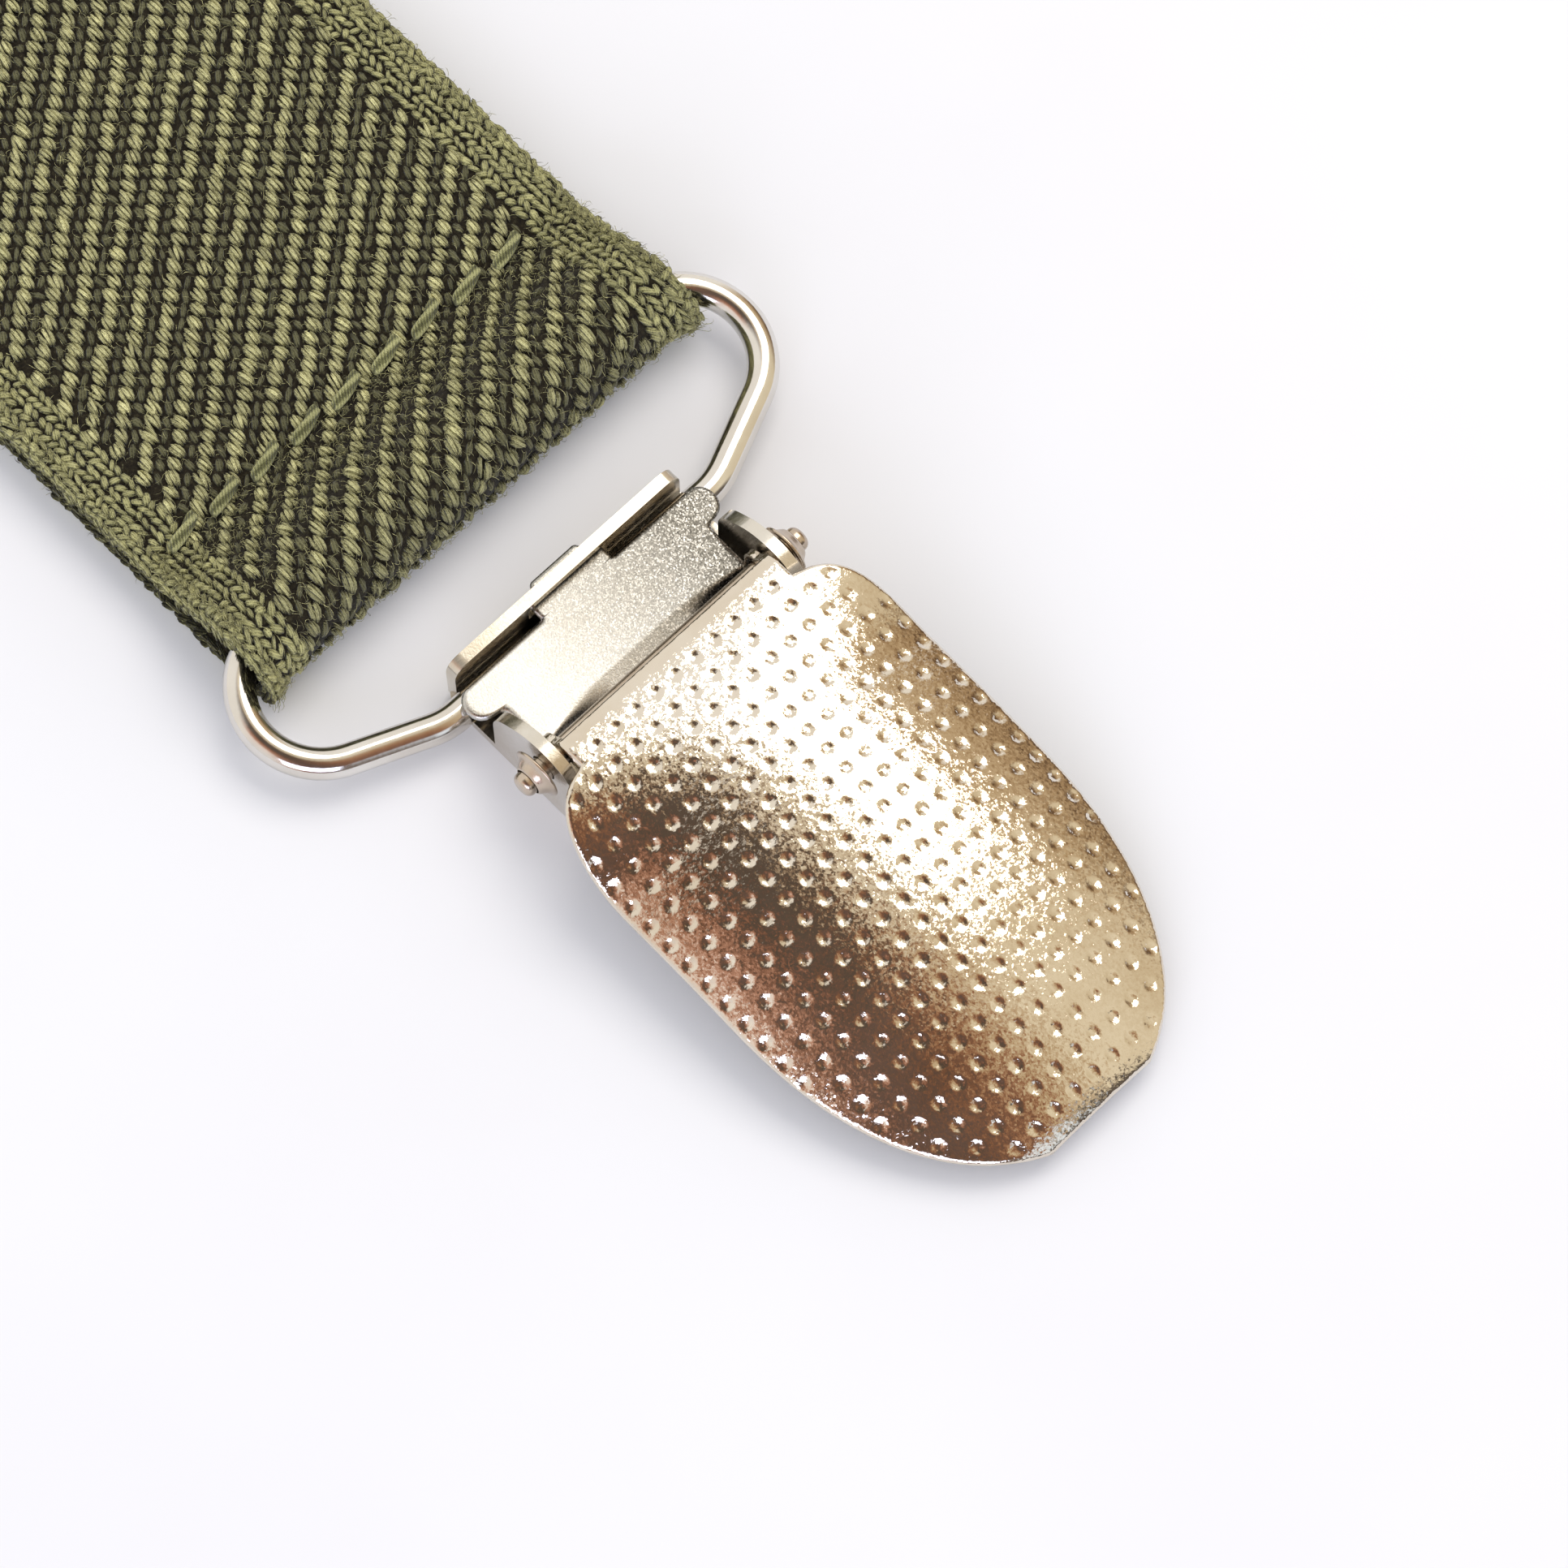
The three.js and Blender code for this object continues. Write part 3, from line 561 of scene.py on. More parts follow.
# %% [markdown]
# ## The front jaw
#
# The jaw is one strip: a tab that hooks through the rear wall, a shelf over the wire bar with
# shoulders wider than the waist, a small bend down, and the flat jaw under the lever. The bend
# was pressed with a curved tool, so its line is an arc. The same sheet function serves, with
# another half width and another height.

# %% Front jaw
JAW_SHEET = 0.55
JAW_HALF = 8.4
SHELF_HALF = 10.1
SHELF_TOP = 3.75
SHELF_REAR, SHELF_FRONT = 7.3, 4.9
SHELF_CORNER = 1.1
TAB_HALF, TAB_END = 2.9, 9.55
JAW_REACH = 26.5
JAW_CORNER = 1.5
WAIST_FILLET = 0.5
STEP_DOWN, FACET_DOWN = 0.9, 0.28


def corner(t, radius):
    """What a rounded corner takes off the half width at a distance t before its end."""
    t = np.clip(t, 0, radius)
    return radius - np.sqrt(np.maximum(0, radius ** 2 - (radius - t) ** 2))


def jaw_half_width(s):
    """Tab, shelf with two rounded corners on each side, waist with a small fillet, and jaw."""
    y = -s
    shelf = (SHELF_HALF - corner(SHELF_REAR - y, SHELF_CORNER)
             - corner(y - SHELF_FRONT, SHELF_CORNER))
    before = np.clip(y - SHELF_FRONT + WAIST_FILLET, 0, WAIST_FILLET)
    fillet = WAIST_FILLET - np.sqrt(np.maximum(0, WAIST_FILLET ** 2 - before ** 2))
    jaw = JAW_HALF + fillet - corner(JAW_REACH + y, JAW_CORNER)
    tab = TAB_HALF - 0.9 * smoothstep(y, 8.6, 8.95) - corner(TAB_END - y, 0.4)
    return np.where(y >= SHELF_REAR, tab, np.where(y >= SHELF_FRONT, shelf, jaw))


def jaw_top(x, s):
    """The shelf's height, then a fall of 0.9 mm. In the middle it is a gentle facet and then a
    steep step; towards the cams the two become one smooth step, 0.9 mm nearer the tip."""
    y = -s
    facet = FACET_DOWN * np.clip(2.25 - y, 0, 1.05) / 1.05
    middle = facet + (STEP_DOWN - FACET_DOWN) * (1 - smoothstep(y, 0.3, 1.2))
    nearer = 0.9 * np.minimum(1, (x / 8.3) ** 2)
    side = STEP_DOWN * (1 - smoothstep(y + nearer, 1.2, 2.4))
    return SHELF_TOP - middle + (middle - side) * smoothstep(np.abs(x), 2.5, 8.0)


def shelf_edge(x, s):
    """Distance from the shelf's rear edge, for the points beside the tab."""
    return np.where((np.abs(x) > TAB_HALF) & (-s <= SHELF_REAR), SHELF_REAR + s, 9.0)


steps = JAW_SHEET / 2 * (1 - np.cos(RIM_TURN))
jaw_stations = -np.hstack([
    TAB_END - steps, np.linspace(9.25, 8.5, 14), np.linspace(8.4, 7.35, 6), [SHELF_REAR + 1e-4],
    SHELF_REAR - 1e-4 - steps, np.linspace(6.95, SHELF_FRONT + 0.02, 22), [SHELF_FRONT - 0.02],
    np.linspace(4.8, 4.2, 8), np.linspace(4.0, 0.0, 40), np.linspace(-0.3, -24.8, 40),
    np.linspace(-25.0, -JAW_REACH + JAW_SHEET / 2, 14), -JAW_REACH + steps[::-1][1:]])
strip = two_sided(*sheet_metal(
    jaw_half_width, jaw_top, jaw_stations, (90, 90), JAW_SHEET, rim_distance=shelf_edge))
piece("front_jaw_strip", *strip, SATIN_NICKEL, "jaw", "nickel_satin", "front_jaw", sharp=50)

# %% [markdown]
# ## The back plate and the pads
#
# The CAD gives the back plate its floor, ears, rear wall and slot with sharp corners. A real
# pressing has every edge rounded by tumbling, and that thin bright line is what tells steel
# from paper, so a copy of the CAD mesh is merged and its edges get a Bevel modifier. The two
# jaw pads are small mouldings with ribs, made the same way.

# %% Copies of CAD meshes with rounded edges
SHARP = math.radians(40)


def rounded_copy(node, name, finish, body, slot, width_mm):
    """Merges a copy of a CAD node's mesh, removes its flat triangle edges and bevels the rest."""
    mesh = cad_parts[node].data.copy()
    mesh.transform(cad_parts[node].matrix_world)
    shape = bmesh.new()
    shape.from_mesh(mesh)
    bmesh.ops.remove_doubles(shape, verts=shape.verts, dist=1e-6)
    bmesh.ops.dissolve_limit(shape, angle_limit=math.radians(2), verts=shape.verts,
                             edges=shape.edges)
    bmesh.ops.recalc_face_normals(shape, faces=shape.faces)
    shape.to_mesh(mesh)
    shape.free()
    mesh.shade_smooth()
    mesh.set_sharp_from_angle(angle=SHARP)
    thing = placed(name, mesh, finish, body, slot, node)
    bevel = thing.modifiers.new("tumbled edges", "BEVEL")
    bevel.width = width_mm * MM
    bevel.segments = 3
    bevel.limit_method = "ANGLE"
    bevel.angle_limit = SHARP
    bevel.harden_normals = True


PLASTIC, tree, out = material("moulded ivory nylon")
coords = add(tree, "ShaderNodeTexCoord").outputs["Object"]
skin = add(tree, "ShaderNodeTexNoise", {"Vector": coords, "Scale": 1 / (0.3 * MM), "Detail": 2})
skin_bump = add(tree, "ShaderNodeBump", {"Height": skin.outputs[0], "Distance": 0.01 * MM})
nylon = add(tree, "ShaderNodeBsdfPrincipled", {
    "Base Color": ramp(tree, skin.outputs[0], [(0.3, "#d9cfb8"), (0.7, "#e4dccb")]),
    "Roughness": 0.45, "IOR": 1.53, "Normal": skin_bump.outputs[0]})
tree.links.new(nylon.outputs[0], out.inputs[0])

rounded_copy("back_plate", "back_plate_pressing", PLATE_NICKEL, "base", "nickel_plate", 0.16)
for level, body in (("lower", "base"), ("upper", "jaw")):
    rounded_copy(f"{level}_jaw_pad", f"{level}_pad_moulding", PLASTIC, body, "pad_plastic", 0.06)

# %% [markdown]
# ## The hinge pin and its collars
#
# The pin is a turned rivet with rounded ends. A thin dished collar is pushed on each end and
# ends in a short cone. Both are turned shapes, so each is a profile of (distance along x,
# radius) carried round the pin's axis.

# %% Turned parts
PIN_RADIUS = 0.8
PIN_HALF = 11.5
PIN_ROUND = 0.45
COLLAR_AT = 10.0


def turned(profile, sides=56):
    """Carries (x, radius) points round the pin's axis, which runs along x at the pin's height."""
    x, r = np.array(profile, float).T[:, :, None]
    a = np.linspace(0, 2 * math.pi, sides, endpoint=False)[None]
    points = np.stack([x + 0 * a, r * np.cos(a), PIN_Z + r * np.sin(a)], -1)
    return points.reshape(-1, 3), quads(len(profile), sides, False, True).tolist()


turn = np.linspace(0, math.pi / 2, 8)
dome_x = PIN_HALF - PIN_ROUND * (1 - np.sin(turn[::-1]))
dome_r = PIN_RADIUS - PIN_ROUND * (1 - np.cos(turn[::-1]))
end = np.stack([np.hstack([PIN_HALF, dome_x]), np.hstack([0, dome_r])], -1)
pin_profile = np.vstack([end, end[::-1] * [-1, 1]])
piece("hinge_pin_rivet", *turned(pin_profile), PIN_STEEL, "base", "pin_steel", "hinge_pin")

COLLAR = [(0.10, PIN_HOLE), (0.02, 1.15), (0.0, 1.45), (0.02, 1.62), (0.08, 1.69),
          (0.16, 1.70), (0.23, 1.64), (0.27, 1.5), (0.36, 1.36), (0.52, 1.22), (0.70, 1.10),
          (0.80, 1.02), (0.85, 0.95), (0.85, PIN_HOLE)]
for side, sign in (("left", -1), ("right", 1)):
    profile = (np.array(COLLAR + COLLAR[:1]) + [COLLAR_AT, 0]) * [sign, 1]
    piece(f"{side}_collar", *turned(profile), PIN_STEEL, "base", "pin_steel",
          f"pin_collar_{side}", sharp=60)

# %% [markdown]
# ## The wire loop
#
# A length of 2 mm wire, bent so that its ends butt under the shelf. It leaves the shelf at a
# shallow angle, turns a large round corner and crosses behind as the bar the strap hangs on.
# It is a circle carried along that centre line, which lies in one tilted plane.

# %% Wire loop
WIRE_RADIUS = 1.0
BAR_Y, BAR_Z = 6.9, 2.0
LOOP_HEIGHT, LOOP_LIFT = 11.6, 1.2
BEND_X, BEND_UP, BEND_RADIUS = 14.9, 6.8, 4.8
KNEE = 11.1
BUTT_GAP = 0.15


def loop_line():
    """The right half of the centre line in its plane, from the butt joint to the top middle."""
    leg = math.atan2(BEND_UP, BEND_X - KNEE) - math.asin(
        BEND_RADIUS / math.hypot(BEND_X - KNEE, BEND_UP))
    t = np.linspace(0, 1, 14)[:, None]
    knee = ((1 - t) ** 2 * [KNEE - 1, 0] + 2 * t * (1 - t) * [KNEE, 0]
            + t ** 2 * [KNEE + 1, math.tan(leg)])
    a = np.linspace(leg - math.pi / 2, math.pi / 2, 36)[:, None]
    bend = np.hstack([BEND_X + BEND_RADIUS * np.cos(a), BEND_UP + BEND_RADIUS * np.sin(a)])
    bar = np.stack([np.linspace(BUTT_GAP, KNEE - 1.2, 12), np.zeros(12)], -1)
    top = np.stack([np.linspace(BEND_X - 0.6, 0, 14), np.full(14, LOOP_HEIGHT)], -1)
    return np.vstack([bar, knee, bend, top])


def tube(centre, plane_normal, radius, sides=24):
    """A circle of the radius at each centre point, square to the line, given its plane."""
    along = np.gradient(centre, axis=0)
    along /= np.linalg.norm(along, axis=1, keepdims=True)
    beside = np.cross(along, plane_normal)
    a = np.linspace(0, 2 * math.pi, sides, endpoint=False)[None, :, None]
    ring = np.cos(a) * beside[:, None] + np.sin(a) * np.asarray(plane_normal)[None, None]
    points = centre[:, None] + ring * np.broadcast_to(radius, len(centre))[:, None, None]
    return points.reshape(-1, 3), quads(len(centre), sides, False, True).tolist()


right = loop_line()
flat = np.vstack([right, (right * [-1, 1])[::-1][1:]])
radii = WIRE_RADIUS * np.array([0, 0.72, 0.93, 1.0])
ends = np.stack([BUTT_GAP + np.array([0, 0.04, 0.14, 0.3]), np.zeros(4)], -1)
flat = np.vstack([ends, flat[1:-1], (ends * [-1, 1])[::-1]])
radius = np.hstack([radii, np.full(len(flat) - 2 * len(radii), WIRE_RADIUS), radii[::-1]])
across, up = flat.T
centre = np.stack([across, BAR_Y + up, BAR_Z + LOOP_LIFT / LOOP_HEIGHT * up], -1)
plane = np.array([0, -LOOP_LIFT, LOOP_HEIGHT]) / math.hypot(LOOP_LIFT, LOOP_HEIGHT)
piece("bent_wire", *tube(centre, plane, radius), WIRE_NICKEL, "loop", "wire_nickel", "wire_loop")

# %% [markdown]
# ## The strap: its cloth
#
# The strap is a thick woven elastic webbing. Its end is folded round the wire and sewn down on
# itself. The cloth is one closed sheet: a line along the strap's middle, lower layer, fold and
# upper layer, carried across the width. It is a shade thinner than the webbing, because the
# yarns that lie on it are pieces of their own. Held by its fold, it needs no simulation.

# %% Strap centre line
WEB_HALF = 17.5
STRAP_END = 61.8
TOP_BAR_Y, TOP_BAR_Z = 18.5, 3.2
SEAM_Y = 26.2
MIDDLE_RADIUS = 2.35
LOWER_Z, UPPER_Z = 0.85, 2.85
LEAD = SEAM_Y - TOP_BAR_Y
SEAM_PULL, SEAM_PULL_WIDTH = 0.34, 0.75


def strap_line():
    """(y, z) from the lower cut end, round the bar as a half circle, down to the seam as a
    Bezier curve and out along the upper layer."""
    lower = np.stack([np.linspace(STRAP_END, TOP_BAR_Y, 400), np.full(400, LOWER_Z)], -1)
    a = np.linspace(0, math.pi, 90)[1:]
    fold = np.stack([TOP_BAR_Y - MIDDLE_RADIUS * np.sin(a),
                     TOP_BAR_Z - MIDDLE_RADIUS * np.cos(a)], -1)
    t = np.linspace(0, 1, 90)[1:, None]
    high = TOP_BAR_Z + MIDDLE_RADIUS
    slope = ((1 - t) ** 3 * [TOP_BAR_Y, high]
             + 3 * t * (1 - t) ** 2 * [TOP_BAR_Y + 0.4 * LEAD, high]
             + 3 * t ** 2 * (1 - t) * [SEAM_Y - 0.5 * LEAD, UPPER_Z]
             + t ** 3 * [SEAM_Y, UPPER_Z])
    upper = np.stack([np.linspace(SEAM_Y, STRAP_END, 330)[1:], np.full(329, UPPER_Z)], -1)
    return np.vstack([lower, fold, slope, upper])


line = strap_line()
line_at = np.hstack([0, np.cumsum(np.linalg.norm(np.diff(line, axis=0), axis=1))])
line_tangent = np.gradient(line, line_at, axis=0)
line_tangent /= np.linalg.norm(line_tangent, axis=1, keepdims=True)
STRAP_LENGTH = float(line_at[-1])
FOLD_AT = STRAP_END - TOP_BAR_Y
SLOPE_AT = FOLD_AT + math.pi * MIDDLE_RADIUS
SEAM_AT = STRAP_LENGTH - (STRAP_END - SEAM_Y)
print("strap", round(STRAP_LENGTH, 1), "mm long when flat")


def on_strap(u, x, h):
    """The point at a distance u along the strap, x across and h out of the middle of the cloth.
    Near the bar the cloth follows the wire's round corners; the seam pulls the top face in."""
    y, z, ty, tz = (np.interp(u, line_at, v) for v in (*line.T, *line_tangent.T))
    pull = SEAM_PULL * np.exp(-((u - SEAM_AT) / SEAM_PULL_WIDTH) ** 2) * smoothstep(h, 0, 0.6)
    y, z = y - tz * (h - pull), z + ty * (h - pull)
    past = np.clip(np.abs(x) - BEND_X, 0, BEND_RADIUS - 0.5)
    drop = BEND_RADIUS - np.sqrt(BEND_RADIUS ** 2 - past ** 2)
    y = y - drop * (1 - smoothstep(y, TOP_BAR_Y + 2, SEAM_Y))
    return np.stack([x + 0 * y, y, z], -1)


def cloth_height(u, x, full):
    """The half thickness at a place: full inside, and a half circle down to 0 at the rims."""
    edge = np.minimum(WEB_HALF - np.abs(x), np.minimum(u, STRAP_LENGTH - u))
    return full * np.sqrt(1 - (1 - np.clip(edge, 0, full) / full) ** 2)


# %% [markdown]
# ## Wool and rubber webbing
#
# The yarn is a mossy worsted blend of olive. Its colour is painted light where the floats stand
# up into the light, and brown to nearly black down between them as painted shade. The cloth
# under the floats is darker still, partly by its own tone and partly as painted shade. Each yarn
# piece carries three numbers: its own tone, how high a point lies on it, which sets the painted
# light and shade, and where it lies round the twist, so that the colour and the plies follow the
# yarn. A ply is about 0.15 mm wide.

# %% Webbing materials
def yarn(name, deep_painted_shade, middle, light, ply_mm):
    """Spun yarn: a ramp over 0.61 (height + 1.3 noise + 0.12 sin ply), times the yarn's tone,
    and a bump of noise + 0.6 sin ply. Through the height mark the ramp paints shade low on the
    yarn, with the deep colour, and light on its top."""
    made, tree, out = material(name)
    coords = add(tree, "ShaderNodeTexCoord").outputs["Object"]
    height = add(tree, "ShaderNodeAttribute", attribute_name="height").outputs["Fac"]
    tone = add(tree, "ShaderNodeAttribute", attribute_name="tone").outputs["Fac"]
    ply = add(tree, "ShaderNodeAttribute", attribute_name="ply").outputs["Fac"]
    fibre = add(tree, "ShaderNodeTexNoise", {
        "Vector": add(tree, "ShaderNodeMapping", {0: coords, 3: (2.2, 0.7, 2.2)}).outputs[0],
        "Scale": 1 / (0.12 * MM), "Detail": 3, "Roughness": 0.65})
    strand = add(tree, "ShaderNodeMath", {0: ply, 1: 1.0}, operation="SINE")
    lift = add(tree, "ShaderNodeMath", {0: fibre.outputs[0], 1: 1.3, 2: height},
               operation="MULTIPLY_ADD")
    stripes = add(tree, "ShaderNodeMath", {0: strand.outputs[0], 1: 0.12, 2: lift.outputs[0]},
                  operation="MULTIPLY_ADD")
    scaled = add(tree, "ShaderNodeMath", {0: stripes.outputs[0], 1: 0.61}, operation="MULTIPLY")
    # Painted light and shade: a low height gives the deep colour, a high one the light colour.
    shade = ramp(tree, scaled.outputs[0], [(0.50, deep_painted_shade), (0.78, middle), (0.98, light)])
    tinted = add(tree, "ShaderNodeMix", {"Factor": 1.0, 6: shade, 7: tone},
                 data_type="RGBA", blend_type="MULTIPLY").outputs[2]
    both = add(tree, "ShaderNodeMath", {0: strand.outputs[0], 1: 0.6, 2: fibre.outputs[0]},
               operation="MULTIPLY_ADD")
    bump = add(tree, "ShaderNodeBump", {"Height": both.outputs[0], "Strength": 0.7,
                                        "Distance": ply_mm * 0.6 * MM})
    bsdf = add(tree, "ShaderNodeBsdfPrincipled", {
        "Base Color": tinted, "Roughness": 0.92, "Specular IOR Level": 0.2,
        "Sheen Weight": 0.18, "Sheen Roughness": 0.5, "Normal": bump.outputs[0]})
    tree.links.new(bsdf.outputs[0], out.inputs[0])
    return made


# Colours of deep painted shade, middle, and painted light on the tops of the yarns.
FLOAT_YARN = yarn("olive worsted floats", "#130f08", "#6f6940", "#e2dc9e", 0.15)
EDGE_YARN = yarn("olive worsted selvedge", "#16120a", "#635f39", "#c2bd83", 0.15)
STITCH_YARN = yarn("olive sewing thread", "#2b2819", "#77764b", "#bfbc84", 0.2)

# The ground is near black, partly the weft's own dark colour and partly painted shade under the
# floats.
GROUND, tree, out = material("weft and rubber ground with painted shade")
coords = add(tree, "ShaderNodeTexCoord").outputs["Object"]
fluff = add(tree, "ShaderNodeTexNoise",
            {"Vector": coords, "Scale": 1 / (0.35 * MM), "Detail": 5, "Roughness": 0.7})
fluff_bump = add(tree, "ShaderNodeBump", {"Height": fluff.outputs[0], "Distance": 0.12 * MM})
ground = add(tree, "ShaderNodeBsdfPrincipled", {
    "Base Color": ramp(tree, fluff.outputs[0], [
        (0.35, "#15110b"), (0.55, "#2a2417"), (0.72, "#4a4630")]),
    "Roughness": 0.95, "Specular IOR Level": 0.15, "Sheen Weight": 0.15, "Sheen Roughness": 0.5,
    "Normal": fluff_bump.outputs[0]})
tree.links.new(ground.outputs[0], out.inputs[0])
print("webbing materials", FLOAT_YARN.name, EDGE_YARN.name, STITCH_YARN.name, GROUND.name)

# %% Strap cloth
CLOTH_HALF = 0.62
CLOTH_INSET = 0.06


def strap_cloth(rows=240, columns=84):
    """Both faces of the cloth over a grid of u and x, crowded towards the rounded rims."""
    side = WEB_HALF - CLOTH_INSET
    u = rim_to_rim(0, STRAP_LENGTH, rows, CLOTH_HALF)[:, None]
    x = rim_to_rim(-side, side, columns, CLOTH_HALF)[None]
    edge = np.minimum(side - np.abs(x), np.minimum(u, STRAP_LENGTH - u))
    h = CLOTH_HALF * np.sqrt(1 - (1 - np.clip(edge, 0, CLOTH_HALF) / CLOTH_HALF) ** 2)
    return on_strap(u, x + 0 * u, h), on_strap(u, x + 0 * u, -h)


strap = piece("strap_cloth", *two_sided(*strap_cloth()), GROUND, "strap", "webbing", "strap")

# %% [markdown]
# ## The strap: its yarns
#
# The face of the webbing is a lattice of short plump floats. They stand in slanting ribs, and
# each float lies along the strap. Between the ribs the weft shows, dark partly by its own tone
# and partly as painted shade. The rows at both sides, the selvedges, are a plain zigzag of
# thinner strands. A float could be one bump, but real ones show the strands they are laid from,
# so each is three closed spindles of 30 faces, side by side. All of them are one array, laid on
# the strap by the same function as the cloth.

# %% Yarn spindles
rng = np.random.default_rng(7)
SPINDLE = np.array([-1, -0.85, -0.42, 0.15, 0.7, 1.0])
STEP_ALONG_RIB = np.array([-0.71, -0.59])
STEP_TO_RIB = np.array([1.26, -1.235])
SELVEDGE = 3.3
TABLE_GAP = 0.01
DRAWN_OUT, DRAWN_OVER = 1.3, 7.0
FLOAT_LEAN = 0.10
STRANDS = np.array([-1.0, 0.0, 1.0])
WEFT_TONE_AND_SHADE = 0.22


def spindles(u, x, h, angle, length, width, height, bow=0.0, sides=6, twist=5.0):
    """Closed spindles on the strap, one per entry: a ring at each step along, its radius the
    square root of 1 - |p|^2.4, flattened to the width and height, turned by the angle and bent
    down at its ends. bow moves its middle sideways and its ends half as far. Returns points,
    faces and the marks height, tone and ply. The height mark paints shade low on a yarn and
    light on its top."""
    n = len(u)
    p = SPINDLE[None, :, None]
    q = np.linspace(0, 2 * math.pi, sides, endpoint=False)[None, None, :]
    body = np.sqrt(np.clip(1 - np.abs(p) ** 2.4, 0, 1)) * rng.normal(
        1, 0.09, (n, len(SPINDLE), sides))

    def each(value):
        return np.broadcast_to(value, n)[:, None, None]

    along = each(length) / 2 * p + 0 * q
    beside = each(width) / 2 * body * np.cos(q) + each(bow) * (1 - 0.5 * p ** 2)
    rise = each(height) * (body * np.sin(q) * np.where(np.sin(q) > 0, 1, 0.6) - 0.35 * p ** 2)
    c, s = np.cos(each(angle)), np.sin(each(angle))
    points = on_strap(each(u) + along * c - beside * s, each(x) + along * s + beside * c,
                      each(h) + rise)
    points[..., 2] = np.maximum(points[..., 2], TABLE_GAP)
    faces = repeated(len(SPINDLE), sides, n)
    # The height mark for painted light and shade: high on the upper side, low underneath and at the
    # ends.
    up = (body * np.sin(q) + 0 * along) * 0.38 + 0.62 - 0.42 * p ** 4
    tone = each(rng.normal(1.0, 0.10, n)) + 0 * along
    ply = beside / each(width) * 2 * math.pi * 3.2 + along * twist
    return points.reshape(-1, 3), faces, {"height": up, "tone": tone, "ply": ply}


FAR = 999
BEFORE = DRAWN_OVER / DRAWN_OUT
STRETCH = np.array([[-FAR, SEAM_AT - BEFORE, SEAM_AT, FAR],
                    [-FAR - DRAWN_OVER + BEFORE, SEAM_AT - DRAWN_OVER, SEAM_AT, FAR]])


def lattice(start, end, half):
    """Float places between two distances along the strap and inside a half width. The weave is
    drawn out on the slope to the bar, by a piecewise straight map of the distance."""
    span = np.arange(-140, 141)
    a, b = np.meshgrid(span, span)
    place = a[..., None] * STEP_ALONG_RIB + b[..., None] * STEP_TO_RIB
    x, u = place[..., 0].ravel(), place[..., 1].ravel() + STRAP_LENGTH / 2
    u = np.interp(u, *STRETCH)
    keep = (np.abs(x) < half) & (u > start) & (u < end)
    return u[keep], x[keep]


def float_field(start, end):
    """Floats over one stretch, each three strands side by side: jittered places and sizes,
    smaller and untidier in the fold, and darker there as painted shade. The two side strands of
    each float are painted darker than the middle one, as shade."""
    u, x = lattice(start, end, WEB_HALF - SELVEDGE)
    n = len(u)
    in_fold = smoothstep(u, FOLD_AT - 1, FOLD_AT + 1)
    in_fold = in_fold * (1 - smoothstep(u, SLOPE_AT - 3, SLOPE_AT + 1))
    u, x = u + rng.normal(0, 0.04, n), x + rng.normal(0, 0.035, n)
    angle = FLOAT_LEAN + rng.normal(0, 0.08, n) + in_fold * rng.normal(0, 0.4, n)
    length = rng.normal(1.32, 0.07, n) * (1 - 0.2 * in_fold)
    gap = rng.normal(0.265, 0.015, n) * (1 - 0.15 * in_fold)
    high = rng.normal(0.10, 0.02, n)
    # Painted shade: floats in the fold are darkened by up to 45 percent.
    tone = rng.normal(1.0, 0.07, n) * (1 - 0.45 * in_fold)
    strand = np.tile(STRANDS, n)
    u, x, angle, length, gap, high, tone = (
        np.repeat(v, len(STRANDS)) for v in (u, x, angle, length, gap, high, tone))
    m = len(u)
    points, faces, marks = spindles(
        u + rng.normal(0, 0.05, m), x, CLOTH_HALF + high + 0.13 * (1 - strand ** 2),
        angle + rng.normal(0, 0.10, m), length * rng.normal(1, 0.07, m),
        rng.normal(0.31, 0.03, m), rng.normal(0.26, 0.03, m), bow=strand * gap)
    # Painted shade: the two side strands, lower than the middle one, are darker.
    marks["tone"] = marks["tone"] * (tone * (1.08 - 0.26 * strand ** 2))[:, None, None]
    return points, faces, marks


def sunken_field(start, end):
    """The weft between the ribs, dark partly by its own tone and partly as painted shade: one low
    strand beside each float.
    """
    u, x = lattice(start, end, WEB_HALF - SELVEDGE)
    u, x = u + STEP_TO_RIB[1] / 2, x + STEP_TO_RIB[0] / 2
    keep = (u > start) & (x < WEB_HALF - SELVEDGE)
    n = keep.sum()
    points, faces, marks = spindles(
        u[keep], x[keep], np.full(n, CLOTH_HALF - 0.04), rng.normal(0.5, 0.35, n),
        rng.normal(1.1, 0.12, n), rng.normal(0.5, 0.08, n), rng.normal(0.2, 0.03, n))
    # Painted shade, partly the weft's own darker tone: the sunken strands are darkened to 0.22.
    marks["tone"] = marks["tone"] * WEFT_TONE_AND_SHADE
    return points, faces, marks


def yarn_piece(name, made, finish=FLOAT_YARN, slot="webbing", *nodes):
    """A piece of the strap from points, faces and marks."""
    points, faces, marks = made
    piece(name, points, faces, finish, "strap", slot, *nodes, marks=marks)


BENEATH, ABOVE = (0.6, FOLD_AT - 0.5), (FOLD_AT - 0.5, STRAP_LENGTH - 0.6)
yarn_piece("upper_floats", float_field(*ABOVE))
yarn_piece("lower_floats", float_field(*BENEATH))
yarn_piece("upper_weft", sunken_field(*ABOVE))
yarn_piece("lower_weft", sunken_field(*BENEATH))

# %% Selvedge strands
ZIGZAG_STEP, LOOP_STEP = 0.62, 0.55
ZIGZAG_COLUMNS = np.array([14.45, 15.0, 15.55, 16.1, 16.6, 17.0])
LOOP_AT = 17.38


